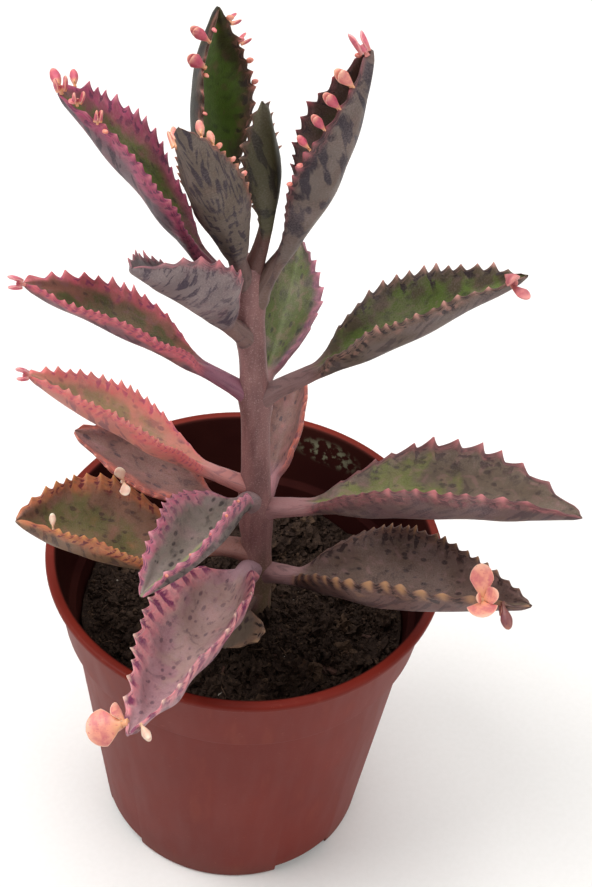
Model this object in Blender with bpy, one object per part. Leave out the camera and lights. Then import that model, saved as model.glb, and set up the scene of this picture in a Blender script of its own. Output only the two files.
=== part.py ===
"""Potted kalanchoe: a leafy succulent with toothed, boat-shaped leaves in a round nursery pot.

Metres, +Z up. The origin is on the pot's axis, on the surface that the pot stands on.
Azimuths are degrees from +X towards +Y, and every leaf is described from the stem outwards.
"""

import math
from collections import namedtuple

import bmesh
import bpy
import numpy as np
from mathutils import Matrix

# Pot: a moulded plastic nursery pot with a collar, a lip and four drain notches under its wall.
RIM_RADIUS = 0.0525
POT_HEIGHT = 0.100
BASE_RADIUS = 0.038
LIP_WIDTH = 0.0016
LIP_DROP = 0.0018
COLLAR_HEIGHT = 0.021
COLLAR_FOOT_RADIUS = 0.0483
COLLAR_STEP = 0.0020
WALL = 0.0012
FLOOR = 0.0016
EDGE_ROUND = 0.0006
POT_SEGMENTS = 64
NOTCH_COUNT = 4
NOTCH_WIDTH = 0.018
NOTCH_HEIGHT = 0.0030
NOTCH_INNER_RADIUS = 0.029
NOTCH_FIRST_AZIMUTH = 37.5

# Gap that separate pieces keep where they touch, and the edge angle that is shaded sharp.
CLEARANCE = 0.0003
SHARP_ANGLE = 32

# Soil: fills the pot to this depth below the rim, with a low mound round the stem.
SOIL_BELOW_RIM = 0.025
SOIL_MOUND = 0.0012
SOIL_RIPPLE = 0.0007
SOIL_RINGS = 7
SOIL_SEGMENTS = 32

# Stem: thick and woody at the soil, thinner at the tip, with a slight lean and curve.
STEM_FOOT_DEPTH = 0.014
STEM_TOP = 0.194
STEM_FOOT_RADIUS = 0.0044
STEM_TOP_RADIUS = 0.0030
STEM_FOOT_X = 0.0034
STEM_LEAN = 0.0026
STEM_CURVE = 0.0037
STEM_REFERENCE = 0.110
STEM_TIP_ROUND = 0.0015
STEM_RINGS = 22
STEM_SEGMENTS = 16

# Leaves: fleshy petiole and a folded blade that ends in a point.
SPINE_STEPS = 61
LEAF_RINGS = 12
LEAF_ACROSS = 5
LEAF_START = 0.0015
PETIOLE_LEAST_RADIUS = 0.0014
PETIOLE_PER_WIDTH = 0.07
PETIOLE_FLATNESS = 0.85
BLADE_HALF_THICKNESS = 0.00125
UPPER_SHARE = 0.8
UNDER_SHARE = 1.2
ROOT_THICKENING = 1.15
TIP_THINNING = 0.75
LEAST_THICKNESS = 0.3
# Places along the petiole, as shares of its length, where it flattens, folds and widens.
FLATTEN_START = 0.5
FLATTEN_REACH = 0.9
FOLD_START = 0.6
BLADE_START = 0.75
# The folded section bends in an arc up to this share of its half width, then runs straight.
FOLD_KNEE = 0.5
LEAST_FOLD = 0.001
# Exponents that shape the blade's outline, its section and the petiole's taper.
BASE_POWER = 1.15
TIP_POWER = 0.9
ROUND_POWER = 0.5
FLAT_POWER = 0.2

Leaf = namedtuple(
    "Leaf",
    "node height azimuth rise petiole_bend blade_bend swing twist blade_twist"
    " petiole blade half_width fold widest",
)
# Heights and lengths are in metres, angles in degrees, widest is a fraction of the blade.
LEAVES = (
    Leaf("leaf_top_left", 0.184, 191, 49, 5, 4, 10, 5, -4, 0.017, 0.054, 0.0140, 38, 0.52),
    Leaf("leaf_top_back", 0.191, 139, 56, 5, 54, 6, -22, 20, 0.017, 0.048, 0.0131, 48, 0.46),
    Leaf("leaf_top_front", 0.190, 250, 59, 5, -3, -14, -32, -4, 0.013, 0.050, 0.0082, 49, 0.41),
    Leaf("leaf_heart", 0.194, 332, 75, 5, 30, 1, 2, 8, 0.011, 0.032, 0.0070, 48, 0.55),
    Leaf("leaf_top_right", 0.185, 348, 75, -16, 32, 7, 9, -45, 0.015, 0.056, 0.0126, 79, 0.54),
    Leaf("leaf_upper_front", 0.174, 230, 48, -3, 3, 3, -22, 2, 0.013, 0.041, 0.0135, 52, 0.42),
    Leaf("leaf_middle_left", 0.155, 196, 43, -7, 0, 0, -8, 10, 0.018, 0.049, 0.0110, 46, 0.42),
    Leaf("leaf_middle_back", 0.151, 76, 23, -8, 0, 12, -6, 2, 0.010, 0.041, 0.0100, 44, 0.40),
    Leaf("leaf_middle_right", 0.154, 354, 44, -8, 9, -1, 2, 0, 0.020, 0.055, 0.0140, 57, 0.43),
    Leaf("leaf_lower_left", 0.1235, 195, 33, 2, 16, 7, -4, -4, 0.017, 0.056, 0.0120, 48, 0.46),
    Leaf("leaf_lower_front", 0.119, 252, 61, -50, -1, -14, -22, 14, 0.013, 0.045, 0.0145, 65, 0.40),
    Leaf("leaf_lower_right", 0.116, 341, 29, -5, 3, -8, 7, 6, 0.017, 0.072, 0.0180, 58, 0.47),
    Leaf("leaf_lower_side", 0.112, 176, 19, 2, 9, -4, 13, 3, 0.014, 0.038, 0.0110, 39, 0.44),
    Leaf("leaf_lower_back", 0.110, 74, 33, -11, -12, 12, 15, 7, 0.015, 0.031, 0.0095, 54, 0.40),
    Leaf("leaf_bottom_left", 0.099, 195, 36, -38, 58, 13, 4, -15, 0.014, 0.057, 0.0200, 49, 0.51),
    Leaf("leaf_bottom_front", 0.0935, 253, 58, -53, 32, 4, -14, 5, 0.015, 0.079, 0.0175, 60, 0.32),
    Leaf("leaf_bottom_right", 0.092, 331, 30, -12, 20, -2, 5, -3, 0.015, 0.070, 0.0190, 60, 0.40),
    Leaf("leaf_basal", 0.084, 252, 12, -14, -24, 3, -7, 0, 0.009, 0.014, 0.0090, 20, 0.45),
)

# Plantlets: a bulb with two round leaflets, growing from a leaf's margin.
BULB_RADIUS = 0.27
LEAFLET_LENGTH = 0.52
LEAFLET_WIDTH = 0.32
LEAFLET_THICKNESS = 0.15
LEAFLET_SPREAD = 30
Plantlet = namedtuple("Plantlet", "node leaf side along size tilt lean")
# side is +1 or -1 for a leaf's right or left margin seen from the stem, along is from the
# blade's start (0) to its tip (1), size is the height in metres, tilt is towards the leaf's
# face and lean towards its tip.
PLANTLETS = (
    Plantlet("plantlet_top_left_tip", "leaf_top_left", -1, 0.98, 0.0044, 25, 60),
    Plantlet("plantlet_top_left_claw", "leaf_top_left", -1, 0.91, 0.0038, 25, 50),
    Plantlet("plantlet_top_left_bean", "leaf_top_left", -1, 0.83, 0.0032, 30, 50),
    Plantlet("plantlet_top_left_rim", "leaf_top_left", 1, 0.97, 0.0044, -35, 15),
    Plantlet("plantlet_top_left_side", "leaf_top_left", 1, 0.89, 0.0036, -25, 10),
    Plantlet("plantlet_top_back_high", "leaf_top_back", -1, 0.87, 0.0048, -90, 35),
    Plantlet("plantlet_top_back_low", "leaf_top_back", -1, 0.77, 0.0050, -90, 35),
    Plantlet("plantlet_top_back_side", "leaf_top_back", 1, 0.90, 0.0034, -45, 0),
    Plantlet("plantlet_top_back_edge", "leaf_top_back", 1, 0.77, 0.0032, -40, 15),
    Plantlet("plantlet_top_front_side", "leaf_top_front", 1, 0.78, 0.0044, 25, -5),
    Plantlet("plantlet_top_front_rim", "leaf_top_front", -1, 0.83, 0.0036, 50, -5),
    Plantlet("plantlet_top_front_right", "leaf_top_front", -1, 0.74, 0.0032, 55, -5),
    Plantlet("plantlet_top_right_tip", "leaf_top_right", 1, 0.97, 0.0056, 70, 50),
    Plantlet("plantlet_top_right_high", "leaf_top_right", 1, 0.87, 0.0052, 5, 48),
    Plantlet("plantlet_top_right_middle", "leaf_top_right", 1, 0.79, 0.0046, 5, 45),
    Plantlet("plantlet_top_right_low", "leaf_top_right", 1, 0.70, 0.0040, 10, 45),
    Plantlet("plantlet_top_right_last", "leaf_top_right", 1, 0.60, 0.0034, 50, 20),
    Plantlet("plantlet_middle_left_tip", "leaf_middle_left", -1, 0.96, 0.0046, -55, 70),
    Plantlet("plantlet_middle_right_tip", "leaf_middle_right", 1, 0.92, 0.0060, -75, 60),
    Plantlet("plantlet_lower_left_tip", "leaf_lower_left", -1, 0.97, 0.0046, -80, 65),
    Plantlet("plantlet_lower_side", "leaf_lower_side", -1, 0.54, 0.0034, 10, 20),
    Plantlet("plantlet_bottom_left", "leaf_bottom_left", -1, 0.87, 0.0034, 85, 20),
    Plantlet("plantlet_bottom_front_tip", "leaf_bottom_front", 1, 0.94, 0.0090, -80, -5),
    Plantlet("plantlet_bottom_front_side", "leaf_bottom_front", -1, 0.94, 0.0040, -100, 35),
    Plantlet("plantlet_bottom_right", "leaf_bottom_right", 1, 0.85, 0.0078, 30, 20),
    Plantlet("plantlet_bottom_right_tip", "leaf_bottom_right", 1, 0.91, 0.0064, -100, 25),
)

POT_COLOUR = (0.245, 0.045, 0.031)
SOIL_COLOUR = (0.022, 0.014, 0.009)
STEM_COLOUR = (0.235, 0.115, 0.105)
GREEN_LEAF_COLOUR = (0.090, 0.105, 0.045)
GREY_LEAF_COLOUR = (0.175, 0.135, 0.125)
PINK_LEAF_COLOUR = (0.420, 0.185, 0.185)
PLANTLET_COLOUR = (0.720, 0.290, 0.240)
LEAF_COLOURS = {
    "leaf_top_left": PINK_LEAF_COLOUR,
    "leaf_top_back": GREEN_LEAF_COLOUR,
    "leaf_heart": GREEN_LEAF_COLOUR,
    "leaf_middle_left": PINK_LEAF_COLOUR,
    "leaf_middle_back": GREEN_LEAF_COLOUR,
    "leaf_middle_right": GREEN_LEAF_COLOUR,
    "leaf_lower_left": PINK_LEAF_COLOUR,
    "leaf_lower_side": PINK_LEAF_COLOUR,
    "leaf_lower_front": PINK_LEAF_COLOUR,
    "leaf_bottom_front": PINK_LEAF_COLOUR,
}


def clear_scene():
    for obj in list(bpy.data.objects):
        bpy.data.objects.remove(obj, do_unlink=True)


def plain_material(name, colour, roughness):
    material = bpy.data.materials.new(name)
    material.use_nodes = True
    shader = material.node_tree.nodes["Principled BSDF"]
    shader.inputs["Base Color"].default_value = (*colour, 1.0)
    shader.inputs["Roughness"].default_value = roughness
    shader.inputs["Metallic"].default_value = 0.0
    material.diffuse_color = (*colour, 1.0)
    return material


def add_object(name, mesh, material=None):
    obj = bpy.data.objects.new(name, mesh)
    bpy.context.scene.collection.objects.link(obj)
    if material:
        mesh.materials.clear()
        mesh.materials.append(material)
    return obj


def mesh_from(name, points, faces):
    mesh = bpy.data.meshes.new(name)
    mesh.from_pydata([tuple(point) for point in points], [], faces)
    mesh.validate()
    mesh.shade_smooth()
    return mesh


def hide_helper(obj):
    obj.hide_render = True
    obj.display_type = "WIRE"


def cut(obj, cutter):
    modifier = obj.modifiers.new("cut_" + cutter.name, "BOOLEAN")
    modifier.operation = "DIFFERENCE"
    modifier.solver = "EXACT"
    modifier.object = cutter


def polar(radius, azimuth, z):
    angle = math.radians(azimuth)
    return (radius * math.cos(angle), radius * math.sin(angle), z)


def rings_mesh(name, rings, first_pole, last_pole):
    """Closed mesh from rings of equal length, capped by a point at each end."""
    count = len(rings[0])
    points = [point for ring in rings for point in ring]
    faces = []
    for i in range(len(rings) - 1):
        for j in range(count):
            here = i * count + j
            beside = i * count + (j + 1) % count
            faces.append((here, beside, beside + count, here + count))
    last_ring = (len(rings) - 1) * count
    bottom = len(points)
    points += [first_pole, last_pole]
    for j in range(count):
        beside = (j + 1) % count
        faces.append((bottom, beside, j))
        faces.append((bottom + 1, last_ring + j, last_ring + beside))
    return mesh_from(name, points, faces)


# ---------------------------------------------------------------- pot


def wall_radius(z):
    """Outer radius of the tapered body wall below the collar."""
    top = COLLAR_FOOT_RADIUS - COLLAR_STEP
    return BASE_RADIUS + (top - BASE_RADIUS) * z / (POT_HEIGHT - COLLAR_HEIGHT)


def pot_profile():
    """(radius, z) from the centre of the underside, up the outside and down the inside."""
    step = POT_HEIGHT - COLLAR_HEIGHT
    under_lip = POT_HEIGHT - LIP_DROP
    collar_top = RIM_RADIUS - LIP_WIDTH
    return (
        (BASE_RADIUS - EDGE_ROUND, 0.0),
        (wall_radius(EDGE_ROUND), EDGE_ROUND),
        (wall_radius(step), step),
        (COLLAR_FOOT_RADIUS, step),
        (collar_top, under_lip),
        (RIM_RADIUS, under_lip),
        (RIM_RADIUS, POT_HEIGHT - EDGE_ROUND),
        (RIM_RADIUS - EDGE_ROUND, POT_HEIGHT),
        (collar_top - EDGE_ROUND, POT_HEIGHT),
        (collar_top - WALL, POT_HEIGHT - LIP_DROP),
        (COLLAR_FOOT_RADIUS - WALL, step + WALL),
        (wall_radius(step) - WALL, step),
        (wall_radius(FLOOR) - WALL, FLOOR),
    )


def notch_cutter(index):
    """A block under the wall, where water drains out between two feet."""
    mesh = bpy.data.meshes.new(f"notch_cutter_{index}")
    work = bmesh.new()
    bmesh.ops.create_cube(work, size=1.0)
    length = BASE_RADIUS * 2 - NOTCH_INNER_RADIUS
    middle = NOTCH_INNER_RADIUS + length / 2
    scale = Matrix.Diagonal((length, NOTCH_WIDTH, NOTCH_HEIGHT * 2, 1.0))
    turn = Matrix.Rotation(math.radians(NOTCH_FIRST_AZIMUTH + index * 360 / NOTCH_COUNT), 4, "Z")
    bmesh.ops.transform(work, verts=work.verts, matrix=turn @ Matrix.Translation((middle, 0, 0)) @ scale)
    work.to_mesh(mesh)
    work.free()
    cutter = add_object(mesh.name, mesh)
    hide_helper(cutter)
    return cutter


def build_pot():
    rings = [
        [polar(radius, 360 * j / POT_SEGMENTS, z) for j in range(POT_SEGMENTS)]
        for radius, z in pot_profile()
    ]
    mesh = rings_mesh("pot", rings, (0, 0, 0), (0, 0, FLOOR))
    mesh.set_sharp_from_angle(angle=math.radians(SHARP_ANGLE))
    pot = add_object("pot", mesh, plain_material("pot_plastic", POT_COLOUR, 0.5))
    for index in range(NOTCH_COUNT):
        cut(pot, notch_cutter(index))


# ---------------------------------------------------------------- stem


def stem_centre(z):
    t = (z - POT_HEIGHT + SOIL_BELOW_RIM) / STEM_REFERENCE
    return np.array((STEM_FOOT_X - STEM_LEAN * t - STEM_CURVE * t * t, 0.0, z))


def stem_mesh(name, grow):
    """The stem, or with grow above zero the clearance that other pieces leave round it."""
    foot = POT_HEIGHT - SOIL_BELOW_RIM - STEM_FOOT_DEPTH
    rings = []
    for z in np.linspace(foot - grow, STEM_TOP + grow, STEM_RINGS):
        share = (z - foot) / (STEM_TOP - foot)
        radius = STEM_FOOT_RADIUS + (STEM_TOP_RADIUS - STEM_FOOT_RADIUS) * share + grow
        centre = stem_centre(z)
        rings.append(
            [tuple(centre + polar(radius, 360 * j / STEM_SEGMENTS, 0)) for j in range(STEM_SEGMENTS)]
        )
    low = stem_centre(foot - grow)
    high = stem_centre(STEM_TOP) + (0, 0, STEM_TIP_ROUND + grow)
    return rings_mesh(name, rings, tuple(low), tuple(high))


def build_stem():
    add_object("stem", stem_mesh("stem", 0.0), plain_material("stem_skin", STEM_COLOUR, 0.6))
    clearance = add_object("stem_clearance", stem_mesh("stem_clearance", CLEARANCE))
    hide_helper(clearance)
    return clearance


# ---------------------------------------------------------------- soil


def soil_top(radius, azimuth):
    """Height of the soil: a low mound at the stem and a gentle ripple."""
    reach = RIM_RADIUS - LIP_WIDTH
    mound = SOIL_MOUND * (1 - radius / reach)
    ripple = SOIL_RIPPLE * math.sin(3 * math.radians(azimuth)) * math.sin(7 * radius / reach)
    return POT_HEIGHT - SOIL_BELOW_RIM + mound + ripple - SOIL_RIPPLE


def build_soil(clearance):
    low = FLOOR + CLEARANCE
    edge = POT_HEIGHT - SOIL_BELOW_RIM
    inset = WALL + CLEARANCE
    rings = [
        [polar(wall_radius(z) - inset, 360 * j / SOIL_SEGMENTS, z) for j in range(SOIL_SEGMENTS)]
        for z in (max(low, NOTCH_HEIGHT + CLEARANCE), edge - 2 * SOIL_RIPPLE)
    ]
    for step in range(1, SOIL_RINGS):
        radius = (wall_radius(edge) - inset) * (1 - step / SOIL_RINGS)
        azimuths = [360 * j / SOIL_SEGMENTS for j in range(SOIL_SEGMENTS)]
        rings.append([polar(radius, azimuth, soil_top(radius, azimuth)) for azimuth in azimuths])
    bottom = (0, 0, rings[0][0][2])
    mesh = rings_mesh("soil", rings, bottom, (0, 0, soil_top(0, 0)))
    mesh.set_sharp_from_angle(angle=math.radians(SHARP_ANGLE))
    soil = add_object("soil", mesh, plain_material("potting_soil", SOIL_COLOUR, 1.0))
    cut(soil, clearance)


# ---------------------------------------------------------------- leaves


def spine(leaf):
    """Arc lengths along a leaf, its centre line, and the directions across it and out of its face."""
    length = leaf.petiole + leaf.blade
    s = np.linspace(0, length, SPINE_STEPS)
    on_petiole = np.clip(s / leaf.petiole, 0, 1)
    on_blade = np.clip((s - leaf.petiole) / leaf.blade, 0, 1)
    rise = np.radians(leaf.rise + leaf.petiole_bend * on_petiole + leaf.blade_bend * on_blade)
    heading = np.radians(leaf.azimuth + leaf.swing * s / length)
    along = np.stack([np.cos(rise) * np.cos(heading), np.cos(rise) * np.sin(heading), np.sin(rise)], 1)
    steps = (along[1:] + along[:-1]) / 2 * (length / (SPINE_STEPS - 1))
    outward = np.array(polar(LEAF_START, leaf.azimuth, 0))
    centre = np.vstack([np.zeros(3), np.cumsum(steps, 0)]) + stem_centre(leaf.height) + outward
    face = np.stack([-np.sin(rise) * np.cos(heading), -np.sin(rise) * np.sin(heading), np.cos(rise)], 1)
    across = np.cross(along, face)
    roll = np.radians(leaf.twist * on_petiole + leaf.blade_twist * on_blade)[:, None]
    turned_face = face * np.cos(roll) - across * np.sin(roll)
    turned_across = across * np.cos(roll) + face * np.sin(roll)
    return s, centre, turned_across, turned_face


def petiole_radius(leaf):
    return PETIOLE_LEAST_RADIUS + PETIOLE_PER_WIDTH * leaf.half_width


def half_width(leaf, s):
    """Half the width of the flattened leaf: round petiole, then a lance-shaped blade."""
    start = leaf.petiole * BLADE_START
    along = np.clip((s - start) / (leaf.petiole + leaf.blade - start), 0, 1)
    power = math.log(0.5) / math.log(leaf.widest)
    shape = np.where(along < leaf.widest, BASE_POWER, TIP_POWER)
    blade = leaf.half_width * np.sin(math.pi * along**power) ** shape
    stalk = petiole_radius(leaf) * np.clip(1 - (s - leaf.petiole) / leaf.blade, 0, 1) ** ROUND_POWER
    return np.cbrt(blade**3 + stalk**3)


def fold_angle(leaf, s):
    """How steeply each half of the blade stands up from the midrib, in radians."""
    start = leaf.petiole * FOLD_START
    return np.radians(leaf.fold) * np.clip((s - start) / start, LEAST_FOLD, 1)


def folded(width, fold, t):
    """Point and face direction at t, from the midrib (0) to a margin (+1 or -1), of a folded section."""
    reach = np.abs(t)
    bend = np.minimum(reach / FOLD_KNEE, 1) * fold
    straight = np.maximum(reach - FOLD_KNEE, 0)
    x = width * (FOLD_KNEE * np.sin(bend) / fold + straight * math.cos(fold)) * np.sign(t)
    y = width * (FOLD_KNEE * (1 - np.cos(bend)) / fold + straight * math.sin(fold))
    return x, y, -np.sin(bend) * np.sign(t), np.cos(bend)


def leaf_loop(leaf, s, width, fold):
    """Closed section of a leaf as (across, face) offsets: upper side first, then the underside."""
    t = np.sin(np.linspace(-math.pi / 2, math.pi / 2, LEAF_ACROSS))
    x, y, face_x, face_y = folded(width, fold, t)
    on_blade = min(max((s / leaf.petiole - FLATTEN_START) / FLATTEN_REACH, 0), 1)
    stalk = petiole_radius(leaf) * PETIOLE_FLATNESS
    thickness = stalk * (1 - on_blade) + BLADE_HALF_THICKNESS * on_blade
    thickness *= max(ROOT_THICKENING - TIP_THINNING * s / (leaf.petiole + leaf.blade), LEAST_THICKNESS)
    lens = thickness * np.clip(1 - t * t, 0, 1) ** (ROUND_POWER + FLAT_POWER * on_blade)
    upper = np.stack([x + face_x * lens * UPPER_SHARE, y + face_y * lens * UPPER_SHARE], 1)
    under = np.stack([x - face_x * lens * UNDER_SHARE, y - face_y * lens * UNDER_SHARE], 1)
    return np.vstack([upper, under[::-1][1:-1]])


def at(s, known, values):
    return np.array([np.interp(s, known, values[:, axis]) for axis in range(3)])


def leaf_mesh(leaf):
    known, centres, acrosses, faces = spine(leaf)
    q = np.linspace(0, 1, LEAF_RINGS)
    stations = known[-1] * (0.5 * q + 0.25 * (1 - np.cos(math.pi * q)))
    rings = []
    for s in stations[:-1]:
        width = float(half_width(leaf, np.array([s]))[0])
        loop = leaf_loop(leaf, s, width, float(fold_angle(leaf, s)))
        centre, across, face = (at(s, known, values) for values in (centres, acrosses, faces))
        rings.append([tuple(centre + across * a + face * b) for a, b in loop[::-1]])
    return rings_mesh(leaf.node, rings, tuple(centres[0]), tuple(centres[-1]))


def build_leaf(leaf, clearance):
    colour = LEAF_COLOURS.get(leaf.node, GREY_LEAF_COLOUR)
    obj = add_object(leaf.node, leaf_mesh(leaf), plain_material(leaf.node + "_skin", colour, 0.45))
    cut(obj, clearance)


# ---------------------------------------------------------------- plantlets


def ellipsoid(name, size, place):
    mesh = bpy.data.meshes.new(name)
    work = bmesh.new()
    bmesh.ops.create_icosphere(work, subdivisions=1, radius=1.0)
    bmesh.ops.transform(work, verts=work.verts, matrix=place @ Matrix.Diagonal((*size, 1.0)))
    work.to_mesh(mesh)
    work.free()
    return add_object(name, mesh)


def plantlet_mesh():
    """A plantlet one unit tall that stands on its bulb, with its two leaflets spread in X."""
    bulb = ellipsoid(
        "bulb", (BULB_RADIUS, BULB_RADIUS, BULB_RADIUS), Matrix.Translation((0, 0, BULB_RADIUS))
    )
    leaflets = []
    for side in (-1, 1):
        spread = Matrix.Rotation(math.radians(LEAFLET_SPREAD) * side, 4, "Y")
        place = Matrix.Translation((0, 0, BULB_RADIUS)) @ spread @ Matrix.Translation((0, 0, LEAFLET_LENGTH))
        leaflet = ellipsoid("leaflet", (LEAFLET_THICKNESS, LEAFLET_WIDTH, LEAFLET_LENGTH), place)
        modifier = bulb.modifiers.new("join", "BOOLEAN")
        modifier.operation = "UNION"
        modifier.solver = "EXACT"
        modifier.object = leaflet
        leaflets.append(leaflet)
    graph = bpy.context.evaluated_depsgraph_get()
    mesh = bpy.data.meshes.new_from_object(bulb.evaluated_get(graph))
    mesh.name = "plantlet"
    for helper in (bulb, *leaflets):
        bpy.data.objects.remove(helper, do_unlink=True)
    return mesh


def margin_frame(leaf, side, along):
    """Point on a leaf's margin, the direction out of it in the blade, and the leaf's face direction."""
    known, centres, acrosses, faces = spine(leaf)
    s = leaf.petiole + leaf.blade * along
    width = float(half_width(leaf, np.array([s]))[0])
    x, y, face_x, face_y = folded(width, float(fold_angle(leaf, s)), np.array([float(side)]))
    centre, across, face = (at(s, known, values) for values in (centres, acrosses, faces))
    point = centre + across * x[0] + face * y[0]
    normal = across * face_x[0] + face * face_y[0]
    outward = (across * face_y[0] - face * face_x[0]) * side
    return point, outward / np.linalg.norm(outward), normal / np.linalg.norm(normal)


def build_plantlet(plantlet, mesh, material):
    leaf = next(leaf for leaf in LEAVES if leaf.node == plantlet.leaf)
    point, outward, normal = margin_frame(leaf, plantlet.side, plantlet.along)
    tilt, lean = math.radians(plantlet.tilt), math.radians(plantlet.lean)
    ahead = plantlet.side * np.cross(normal, outward)
    up = (outward * math.cos(tilt) + normal * math.sin(tilt)) * math.cos(lean) + ahead * math.sin(lean)
    fore = normal * math.cos(tilt) - outward * math.sin(tilt)
    side = np.cross(fore, up)
    start = point + up * CLEARANCE * 2
    obj = add_object(plantlet.node, mesh.copy(), material)
    frame = np.eye(4)
    frame[:3, 0], frame[:3, 1], frame[:3, 2], frame[:3, 3] = side, fore, up, start
    obj.matrix_world = Matrix(frame.tolist()) @ Matrix.Diagonal((*[plantlet.size] * 3, 1.0))


def main():
    clear_scene()
    build_pot()
    clearance = build_stem()
    build_soil(clearance)
    for leaf in LEAVES:
        build_leaf(leaf, clearance)
    mesh = plantlet_mesh()
    for plantlet in PLANTLETS:
        material = plain_material(plantlet.node + "_skin", PLANTLET_COLOUR, 0.4)
        build_plantlet(plantlet, mesh, material)


main()
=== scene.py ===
"""Potted kalanchoe: the finished surfaces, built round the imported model.

Metres, +Z up. Azimuths are degrees from +X towards +Y, and every leaf is described from the
stem outwards with its upper face up. Left and right margins are as seen from the stem.
"""

import math
from collections import namedtuple
from functools import partial

import bmesh
import bpy
import numpy as np
from mathutils import Matrix, Vector, noise


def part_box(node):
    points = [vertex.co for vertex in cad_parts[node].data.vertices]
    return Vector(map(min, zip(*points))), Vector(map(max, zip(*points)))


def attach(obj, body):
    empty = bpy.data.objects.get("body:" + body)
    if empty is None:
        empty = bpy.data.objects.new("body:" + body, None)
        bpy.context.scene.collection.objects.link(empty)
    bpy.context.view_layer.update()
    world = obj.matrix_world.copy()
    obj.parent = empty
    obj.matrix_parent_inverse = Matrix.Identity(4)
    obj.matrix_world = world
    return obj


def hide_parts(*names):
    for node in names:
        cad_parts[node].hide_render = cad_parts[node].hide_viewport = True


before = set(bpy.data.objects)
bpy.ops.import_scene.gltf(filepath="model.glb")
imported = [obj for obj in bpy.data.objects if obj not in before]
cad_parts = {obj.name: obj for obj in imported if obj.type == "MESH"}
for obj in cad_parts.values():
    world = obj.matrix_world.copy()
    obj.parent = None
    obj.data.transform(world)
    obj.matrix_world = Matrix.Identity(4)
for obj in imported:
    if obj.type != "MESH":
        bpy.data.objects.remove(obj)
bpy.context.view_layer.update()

bl_info = {
    "name": "Potted kalanchoe",
    "version": (1, 0, 0),
    "blender": (4, 5, 0),
    "location": "3D View > Sidebar > Kalanchoe",
    "description": "Builds a toothed kalanchoe with plantlets in a nursery pot",
    "category": "Add Mesh",
}

MM = 0.001
POT_LOW, POT_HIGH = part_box("pot")
SOIL_LOW, SOIL_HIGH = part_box("soil")
STEM_LOW, STEM_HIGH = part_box("stem")

# ---------------------------------------------------------------- plan of the plant

# The leaves' shape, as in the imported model. Heights and lengths in metres, angles in degrees,
# widest is a fraction of the blade.
Leaf = namedtuple(
    "Leaf",
    "node height azimuth rise petiole_bend blade_bend swing twist blade_twist"
    " petiole blade half_width fold widest",
)
LEAVES = (
    Leaf("leaf_top_left", 0.184, 191, 49, 5, 4, 10, 5, -4, 0.017, 0.054, 0.0140, 38, 0.52),
    Leaf("leaf_top_back", 0.191, 139, 56, 5, 54, 6, -22, 20, 0.017, 0.048, 0.0131, 48, 0.46),
    Leaf("leaf_top_front", 0.190, 250, 59, 5, -3, -14, -32, -4, 0.013, 0.050, 0.0082, 49, 0.41),
    Leaf("leaf_heart", 0.194, 332, 75, 5, 30, 1, 2, 8, 0.011, 0.032, 0.0070, 48, 0.55),
    Leaf("leaf_top_right", 0.185, 348, 75, -16, 32, 7, 9, -45, 0.015, 0.056, 0.0126, 79, 0.54),
    Leaf("leaf_upper_front", 0.174, 230, 48, -3, 3, 3, -22, 2, 0.013, 0.041, 0.0135, 52, 0.42),
    Leaf("leaf_middle_left", 0.155, 196, 43, -7, 0, 0, -8, 10, 0.018, 0.049, 0.0110, 46, 0.42),
    Leaf("leaf_middle_back", 0.151, 76, 23, -8, 0, 12, -6, 2, 0.010, 0.041, 0.0100, 44, 0.40),
    Leaf("leaf_middle_right", 0.154, 354, 44, -8, 9, -1, 2, 0, 0.020, 0.055, 0.0140, 57, 0.43),
    Leaf("leaf_lower_left", 0.1235, 195, 33, 2, 16, 7, -4, -4, 0.017, 0.056, 0.0120, 48, 0.46),
    Leaf("leaf_lower_front", 0.119, 252, 61, -50, -1, -14, -22, 14, 0.013, 0.045, 0.0145, 65, 0.40),
    Leaf("leaf_lower_right", 0.116, 341, 29, -5, 3, -8, 7, 6, 0.017, 0.072, 0.0180, 58, 0.47),
    Leaf("leaf_lower_side", 0.112, 176, 19, 2, 9, -4, 13, 3, 0.014, 0.038, 0.0110, 39, 0.44),
    Leaf("leaf_lower_back", 0.110, 74, 33, -11, -12, 12, 15, 7, 0.015, 0.031, 0.0095, 54, 0.40),
    Leaf("leaf_bottom_left", 0.099, 195, 36, -38, 58, 13, 4, -15, 0.014, 0.057, 0.0200, 49, 0.51),
    Leaf("leaf_bottom_front", 0.0935, 253, 58, -53, 32, 4, -14, 5, 0.015, 0.079, 0.0175, 60, 0.32),
    Leaf("leaf_bottom_right", 0.092, 331, 30, -12, 20, -2, 5, -3, 0.015, 0.070, 0.0190, 60, 0.40),
    Leaf("leaf_basal", 0.084, 252, 12, -14, -24, 3, -7, 0, 0.009, 0.014, 0.0090, 20, 0.45),
)

# One margin of a leaf: the height and pitch of its teeth against the usual ones, the share of its
# half that the margin's colour covers, how far its teeth turn to the upper face in degrees, and how
# far they are rounded knuckles (1) and not thin points (0).
Margin = namedtuple("Margin", "height pitch rim curl knuckle")
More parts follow.
